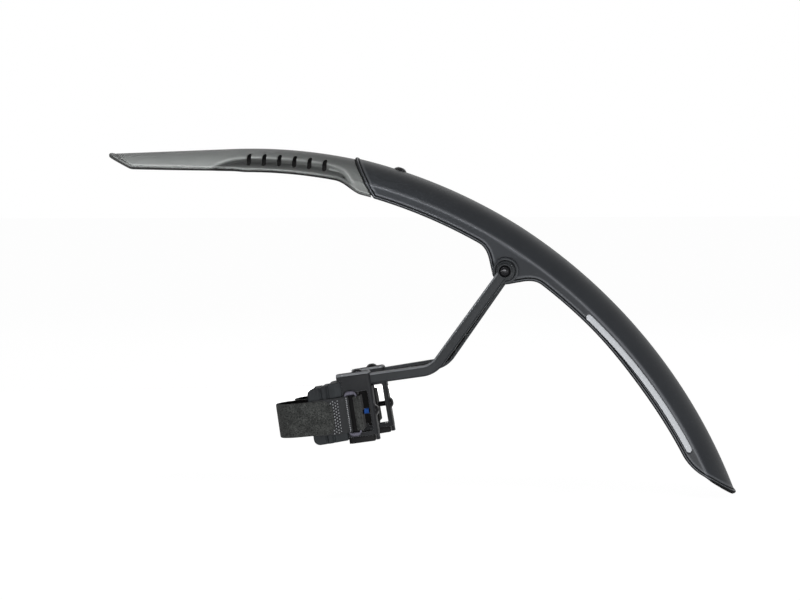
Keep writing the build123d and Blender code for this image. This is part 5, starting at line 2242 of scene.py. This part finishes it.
@dataclass(frozen=True)
class Ring:
    """Plated ring outside the clamp: thin upright bars and heavy ends, in millimetres of the clamp.

    Attributes:
        bars: Places of the front and rear bar along the clamp.
        bar: Thickness of the bars.
        end_bar: Height of the end bars.
        opening: Height of the opening.
        corner: Radius of the outer corners.
        fullness: Power of the section's round; 1 gives an ellipse, 0 a rectangle.
        level: Height of its middle.
    """

    bars: Pair = (-6.9, 0.4)
    bar: float = 1.4
    end_bar: float = 3.0
    opening: float = 24.4
    corner: float = 3.4
    inner_corner: float = 0.8
    fullness: float = 0.7
    y: float = -8.3
    level: float = -21.0

    def loop(self, half_x: float, half_z: float, radius: float, count: int) -> Array:
        """Rounded rectangle with the same number of points on each corner and side.

        Args:
            half_x: Half of its length.
            half_z: Half of its height.
            radius: Radius of its corners.
            count: Number of points on a corner.

        Returns:
            Points of the loop.
        """
        turn = np.linspace(0.0, np.pi / 2.0, count)
        arc = np.stack([np.cos(turn), np.sin(turn)], axis=1) * radius
        middle = np.array([half_x - radius, half_z - radius])
        quarter = arc + middle
        flip = [(1.0, 1.0), (-1.0, 1.0), (-1.0, -1.0), (1.0, -1.0)]
        runs = []
        for number, sign in enumerate(flip):
            corner = quarter * np.array(sign)
            runs.append(corner[::-1] if number % 2 else corner)
        closed = np.concatenate([*runs, runs[0][:1]])
        gaps = []
        for number in range(4):
            start = closed[(number + 1) * count - 1]
            end = closed[(number + 1) * count]
            gaps.append(start + (end - start) * np.linspace(0.0, 1.0, 12)[1:-1, None])
        return np.concatenate([part for pair in zip(runs, gaps) for part in pair])

    def surface(self) -> Surface:
        """Ring between an outer and an inner loop, with a squarish round section.

        Returns:
            The ring.
        """
        front, rear = self.bars
        half_x = (rear - front) / 2.0
        outer = self.loop(half_x + self.bar / 2.0, self.opening / 2.0 + self.end_bar, self.corner, 10)
        inner = self.loop(half_x - self.bar / 2.0, self.opening / 2.0, self.inner_corner, 10)
        turn = np.linspace(0.0, 2.0 * np.pi, 14, endpoint=False)
        square = np.sign(np.cos(turn)) * np.abs(np.cos(turn)) ** self.fullness
        rise = np.sign(np.sin(turn)) * np.abs(np.sin(turn)) ** self.fullness * self.bar / 2.0
        middle = (outer + inner)[:, None, :] / 2.0
        flat = middle + (outer - inner)[:, None, :] / 2.0 * square[None, :, None]
        return closed_ring(in_space(flat + [(front + rear) / 2.0, self.level], self.y + rise))


@dataclass(frozen=True)
class Clamp:
    """Bracket on a stay's end with its screws, pad, strap, tab and ring.

    Attributes:
        mount_z: Height of the mount in the pad.
        clamp_screw: Place of the screw on top of the sleeve.
        pad_screw: Place of the screw in the rear plate.
        patch: Heights of the thread-lock patch, which only the left pad screw shows.
        stay_inner: Distance from the middle plane past which a stay's inner side is its channel.
        sleeve_top: Height over which a bracket's round faces are the top of its sleeve.
        sheet_inner: Distance across from which a face that looks inwards is an inner one.
    """

    pad: Pad = Pad()
    webbing: Webbing = Webbing()
    ring: Ring = Ring()
    mount_z: float = -19.56
    clamp_screw: Triple = (2.4, 0.0, 5.55)
    clamp_length: float = 11.5
    pad_screw: Triple = (11.2, 0.0, -21.0)
    pad_length: float = 24.2
    patch: Pair = (-7.6, -4.4)
    stay_inner: float = 32.6
    sleeve_top: float = 2.0
    sheet_inner: float = 2.0

    def frame(self, record: dict, side: Side) -> Frame:
        """Frame of a clamp, from its slide and the mount in its pad.

        Args:
            record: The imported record.
            side: Side of the clamp.

        Returns:
            Frame about the middle of the sleeve, x along the stay's end and z square to it.
        """
        mount = by_name(record["mounts"])[side.node("fork_clamp")]
        x_axis = -np.array(by_name(record["behaviour"]["joints"])[side.node("clamp_slide")]["axis"])
        z_axis = -np.array(mount["axis"])
        axes = np.array([x_axis, (0.0, side.across, 0.0), z_axis])
        origin = np.array(mount["pos_m"]) - (self.pad.leg_x * x_axis + self.mount_z * z_axis) * MM
        return Frame(origin, axes)

    def repaint(self, mesh: Mesh, painted_highlight: Array, inner: Array, finish: Finish) -> None:
        """Give faces of an edge-rounded piece its painted-highlight finish, and others a third one, a painted
        shade.

        Args:
            mesh: Mesh of the piece.
            painted_highlight: Which faces get the painted highlight.
            inner: Which faces have the third finish, a painted shade.
            finish: The third finish.
        """
        paint = read_values(mesh.polygons, "material_index", kind=np.int32)
        paint[painted_highlight] = 1
        paint[inner] = 2
        mesh.materials.append(finish.material())
        mesh.polygons.foreach_set("material_index", paint)

    def paint_stay_light(self, mesh: Mesh, side: Side) -> None:
        """Give the stay's upper chamfer a painted highlight and its channel's floor black nylon as painted
        shade.

        Args:
            mesh: Mesh of the stay.
            side: Side that it is on.
        """
        normal, centre = face_values(mesh)
        inward = normal[:, 1] * side.across
        # Chamfer faces that look up and outwards get a painted highlight; the channel's floor gets black
        # nylon as painted shade
        chamfer = (inward < -0.45) & (inward > -0.9) & (normal[:, 2] > 0.3)
        channel = (inward > 0.8) & (np.abs(centre[:, 1]) > self.stay_inner * MM)
        self.repaint(mesh, chamfer, channel, BLOCK)

    def paint_bracket_light(self, mesh: Mesh, frame: Frame) -> None:
        """Give the round top of the sleeve a painted highlight and the inner faces a black painted shade.

        Args:
            mesh: Mesh of the bracket.
            frame: Frame of the clamp.
        """
        normal, centre = face_values(mesh)
        normal = normal @ frame.axes.T
        centre = (centre - frame.origin) @ frame.axes.T / MM
        outward = normal[:, 1] * np.sign(centre[:, 1])
        # Round top faces get a painted highlight; faces that look inwards get a black painted shade
        top = (normal[:, 2] > 0.35) & (normal[:, 2] < 0.96) & (centre[:, 2] > self.sleeve_top)
        inner = (outward < -0.8) & (np.abs(centre[:, 1]) > self.sheet_inner)
        self.repaint(mesh, top, inner, COAT_SHADE)

    def build(self, side: Side, frame: Frame) -> None:
        """Make and dress one clamp and its stay.

        Args:
            side: Side that it is on.
            frame: Frame of the clamp, x along the stay's end and z square to it.
        """
        body = side.node("clamp")
        stay = edge_rounded(side.node("stay"), side.node("stay"), STAY, 0.3, STAY_HIGHLIGHT)
        self.paint_stay_light(stay.data, side)
        bracket = edge_rounded(side.node("bracket"), body, COAT, 0.3, COAT_HIGHLIGHT)
        self.paint_bracket_light(bracket.data, frame)
        edge_rounded(side.node("pad_carrier"), body, BLOCK, 0.35)
        for nut in ("clamp_nut", "pad_nut"):
            edge_rounded(side.node(nut), body, ZINC, 0.25)
        upright = frame.child(self.clamp_screw, (1.0, 0.0, 0.0), (0.0, 1.0, 0.0), (0.0, 0.0, 1.0))
        lying = frame.child(self.pad_screw, (0.0, 1.0, 0.0), (0.0, 0.0, 1.0), (1.0, 0.0, 0.0))
        patch = self.patch if side is Side.LEFT else None
        strap_surface, strap_length = self.webbing.strap()
        tab_surface, tab_length = self.webbing.tab()
        threaded = [OXIDE, THREAD_LOCK] if patch else [OXIDE]
        table = (
            ("sleeve_screw", "clamp_screw", M4.surface(self.clamp_length), upright, [OXIDE], SCREW_SHARP),
            ("plate_screw", "pad_screw", M4.surface(self.pad_length, patch), lying, threaded, SCREW_SHARP),
            ("rubber_pad", "pad", self.pad.surface(), frame, [RUBBER], ROUND_SHARP),
            ("plated_ring", "strap_ring", self.ring.surface(), frame, [NICKEL], ROUND_SHARP),
            ("loop_strap", "strap", strap_surface, frame, [LOOP, LOOP_BACK_AND_SHADE], SOFT_SHARP),
            ("tab_hooks", None, self.webbing.hooks(), frame, [HOOKS], SOFT_SHARP),
            ("folded_tab", "hook_tab", tab_surface, frame, [HOOK_GROUND], SOFT_SHARP),
        )
        for name, node, surface, place, finishes, sharp in table:
            nodes = [side.node(node)] if node else []
            make_piece(side.node(name), surface, place, body, finishes, nodes, sharp)


@dataclass(frozen=True)
class Lamp:
    """Soft lamp that points at the object.

    Attributes:
        name: Name of the lamp.
        place: Its place in metres.
        size: Its width and height in metres.
        power: Its power in watts.
        aim: Point that it is turned to.
        spread: Angle in degrees that its light fans out by, as a grid in front of it sets.
    """

    name: str
    place: Triple
    size: Pair
    power: float
    aim: Triple = (0.0, 0.0, 0.0)
    spread: float = 180.0

    def build(self) -> None:
        """Put the lamp into the scene."""
        light = bpy.data.lights.new(self.name, "AREA")
        light.shape = "RECTANGLE"
        light.size, light.size_y = self.size
        light.energy = self.power
        light.spread = math.radians(self.spread)
        lamp = add_object(self.name, light)
        lamp.location = self.place
        lamp.rotation_euler = (Vector(self.aim) - Vector(self.place)).to_track_quat("-Z", "Y").to_euler()


@dataclass(frozen=True)
class Studio:
    """Pale floor, white background, soft lamps and the camera.

    Attributes:
        target: Point of the middle plane that the camera looks at, about the axle, in millimetres.
        distance: Distance of the camera from that point in millimetres.
        yaw: Turn of the camera from square to the side, towards the rear, in degrees.
        pitch: Height of the camera over level, in degrees.
        roll: Turn of the camera about its own axis, in degrees.
        focal: Focal length in pixels of the photograph's frame.
        frame_width: Width of that frame in pixels.
        clip: Nearest and farthest distance that the camera sees, in metres.
        sky: Colour of the light from all round.
        floor_glow: Strength of the floor's white part.
        floor_shadow: Share of its shadows that the floor shows.
        floor_reach: Distance of the floor's borders from the middle, in metres.
    """

    target: Triple = (113.4, 0.0, 259.6)
    distance: float = 1600.0
    yaw: float = 5.95
    pitch: float = 2.87
    roll: float = -0.24
    focal: float = 2377.0
    frame_width: float = 800.0
    sensor: float = 36.0
    clip: Pair = (0.01, 60.0)
    sky: str = "#dfe3e8"
    sky_strength: float = 0.045
    floor_colour: str = "#a8a8a8"
    floor_glow: float = 1.4
    floor_shadow: float = 0.3
    floor_reach: float = 12.0
    lamps: tuple[Lamp, ...] = (
        Lamp("front_low", (0.2, -0.75, -0.09), (0.9, 0.04), 8.5),
        Lamp("nose_grid", (-0.47, -0.27, 0.07), (0.1, 0.06), 0.42, (-0.18, -0.03, 0.09), 38.0),
        Lamp("top_box", (-0.25, -0.35, 1.2), (0.12, 0.12), 2.0),
        Lamp("rear_box", (0.1, 1.4, 1.0), (1.4, 0.8), 3.0),
        Lamp("rear_low", (-0.22, 0.8, -0.09), (0.36, 0.04), 6.5),
    )

    def camera(self, wheel: Frame) -> None:
        """Camera at the photograph's angle.

        Args:
            wheel: Frame about the wheel's axle.
        """
        yaw, pitch, roll = (math.radians(angle) for angle in (self.yaw, self.pitch, self.roll))
        away = np.array([math.sin(yaw) * math.cos(pitch), -math.cos(yaw) * math.cos(pitch), math.sin(pitch)])
        level = np.array([math.cos(yaw), math.sin(yaw), 0.0])
        right = math.cos(roll) * level + math.sin(roll) * np.cross(away, level)
        lens = bpy.data.cameras.new("camera")
        lens.sensor_width = self.sensor
        lens.lens = self.sensor * self.focal / self.frame_width
        lens.clip_start, lens.clip_end = self.clip
        camera = add_object("camera", lens)
        camera.location = Vector(wheel.place(np.array(self.target)) + away * self.distance * MM)
        axes = np.stack([right, np.cross(away, right), away], axis=1)
        camera.rotation_euler = Matrix(axes.tolist()).to_euler()
        bpy.context.scene.camera = camera

    def seen_directly(self, tree: Tree) -> Socket:
        """Output that is 1 for rays from the camera, mirrors and glass, and 0 for light.

        Args:
            tree: Node tree that gets the nodes.

        Returns:
            The output.
        """
        path = add_node(tree, "LightPath").outputs
        seen = path["Is Camera Ray"]
        for ray in ("Is Glossy Ray", "Is Transmission Ray"):
            seen = add_node(tree, "Math", {0: seen, 1: path[ray]}, operation="MAXIMUM").outputs[0]
        return seen

    def world(self) -> None:
        """White to look at, a softer grey as light."""
        world = bpy.data.worlds.new("studio")
        tree = clear_tree(world)
        light = add_node(tree, "Background", {
            "Color": linear(self.sky), "Strength": self.sky_strength})
        white = add_node(tree, "Background", {"Color": linear("#ffffff"), "Strength": 1.0})
        mix = add_node(tree, "MixShader", {
            0: self.seen_directly(tree), 1: light.outputs[0], 2: white.outputs[0]})
        add_node(tree, "OutputWorld", {"Surface": mix.outputs[0]})
        bpy.context.scene.world = world

    def floor(self, level: float) -> None:
        """Pale floor that looks white and keeps a part of its shadows.

        Args:
            level: Height of the floor in metres.
        """
        reach = self.floor_reach
        mesh = bpy.data.meshes.new("floor")
        corners = [(x * reach, y * reach, level) for x, y in ((-1, -1), (1, -1), (1, 1), (-1, 1))]
        mesh.from_pydata(corners, [], [(0, 1, 2, 3)])
        material = bpy.data.materials.new("pale_floor")
        tree = clear_tree(material)
        matt = add_node(tree, "BsdfDiffuse", {"Color": linear(self.floor_colour)})
        white = add_node(tree, "Emission", {
            "Color": linear("#ffffff"), "Strength": self.floor_glow})
        share = add_node(tree, "Math", {
            0: self.seen_directly(tree), 1: 1.0 - self.floor_shadow}, operation="MULTIPLY")
        mix = add_node(tree, "MixShader", {
            0: share.outputs[0], 1: matt.outputs[0], 2: white.outputs[0]})
        add_node(tree, "OutputMaterial", {"Surface": mix.outputs[0]})
        mesh.materials.append(material)
        add_object("floor", mesh)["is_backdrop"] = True

    def build(self, wheel: Frame, level: float) -> None:
        """Set up the whole studio.

        Args:
            wheel: Frame about the wheel's axle.
            level: Height of the floor in metres.
        """
        self.camera(wheel)
        self.world()
        self.floor(level)
        for lamp in self.lamps:
            lamp.build()
        bpy.context.scene.view_settings.view_transform = "Standard"


def by_name(rows: Sequence[dict]) -> dict[str, dict]:
    """Rows of the record by their names."""
    return {row["name"]: row for row in rows}


def wheel_frame(record: dict) -> Frame:
    """Frame about the wheel's axle, which the extension slides round."""
    slide = by_name(record["behaviour"]["joints"])["extension_pull_out"]
    return Frame(np.array(slide["pos_m"]), np.eye(3))


def plain_box(box: Sequence[Sequence[float]]) -> list[list[float]]:
    """Box as plain lists of numbers."""
    return [[float(value) for value in corner] for corner in box]


def main() -> None:
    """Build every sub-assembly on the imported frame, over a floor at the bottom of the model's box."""
    logging.basicConfig(level=logging.INFO, format="%(name)s: %(message)s")
    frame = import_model()
    cad_box = plain_box(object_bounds())
    record = frame["record"]
    wheel = wheel_frame(record)
    Studio().build(wheel, cad_box[0][2])
    Blade().build(wheel)
    Extension().build(wheel)
    Fastenings().build(wheel)
    clamp = Clamp()
    for side in Side:
        clamp.build(side, clamp.frame(record, side))
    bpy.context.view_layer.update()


if __name__ == "__main__":
    main()
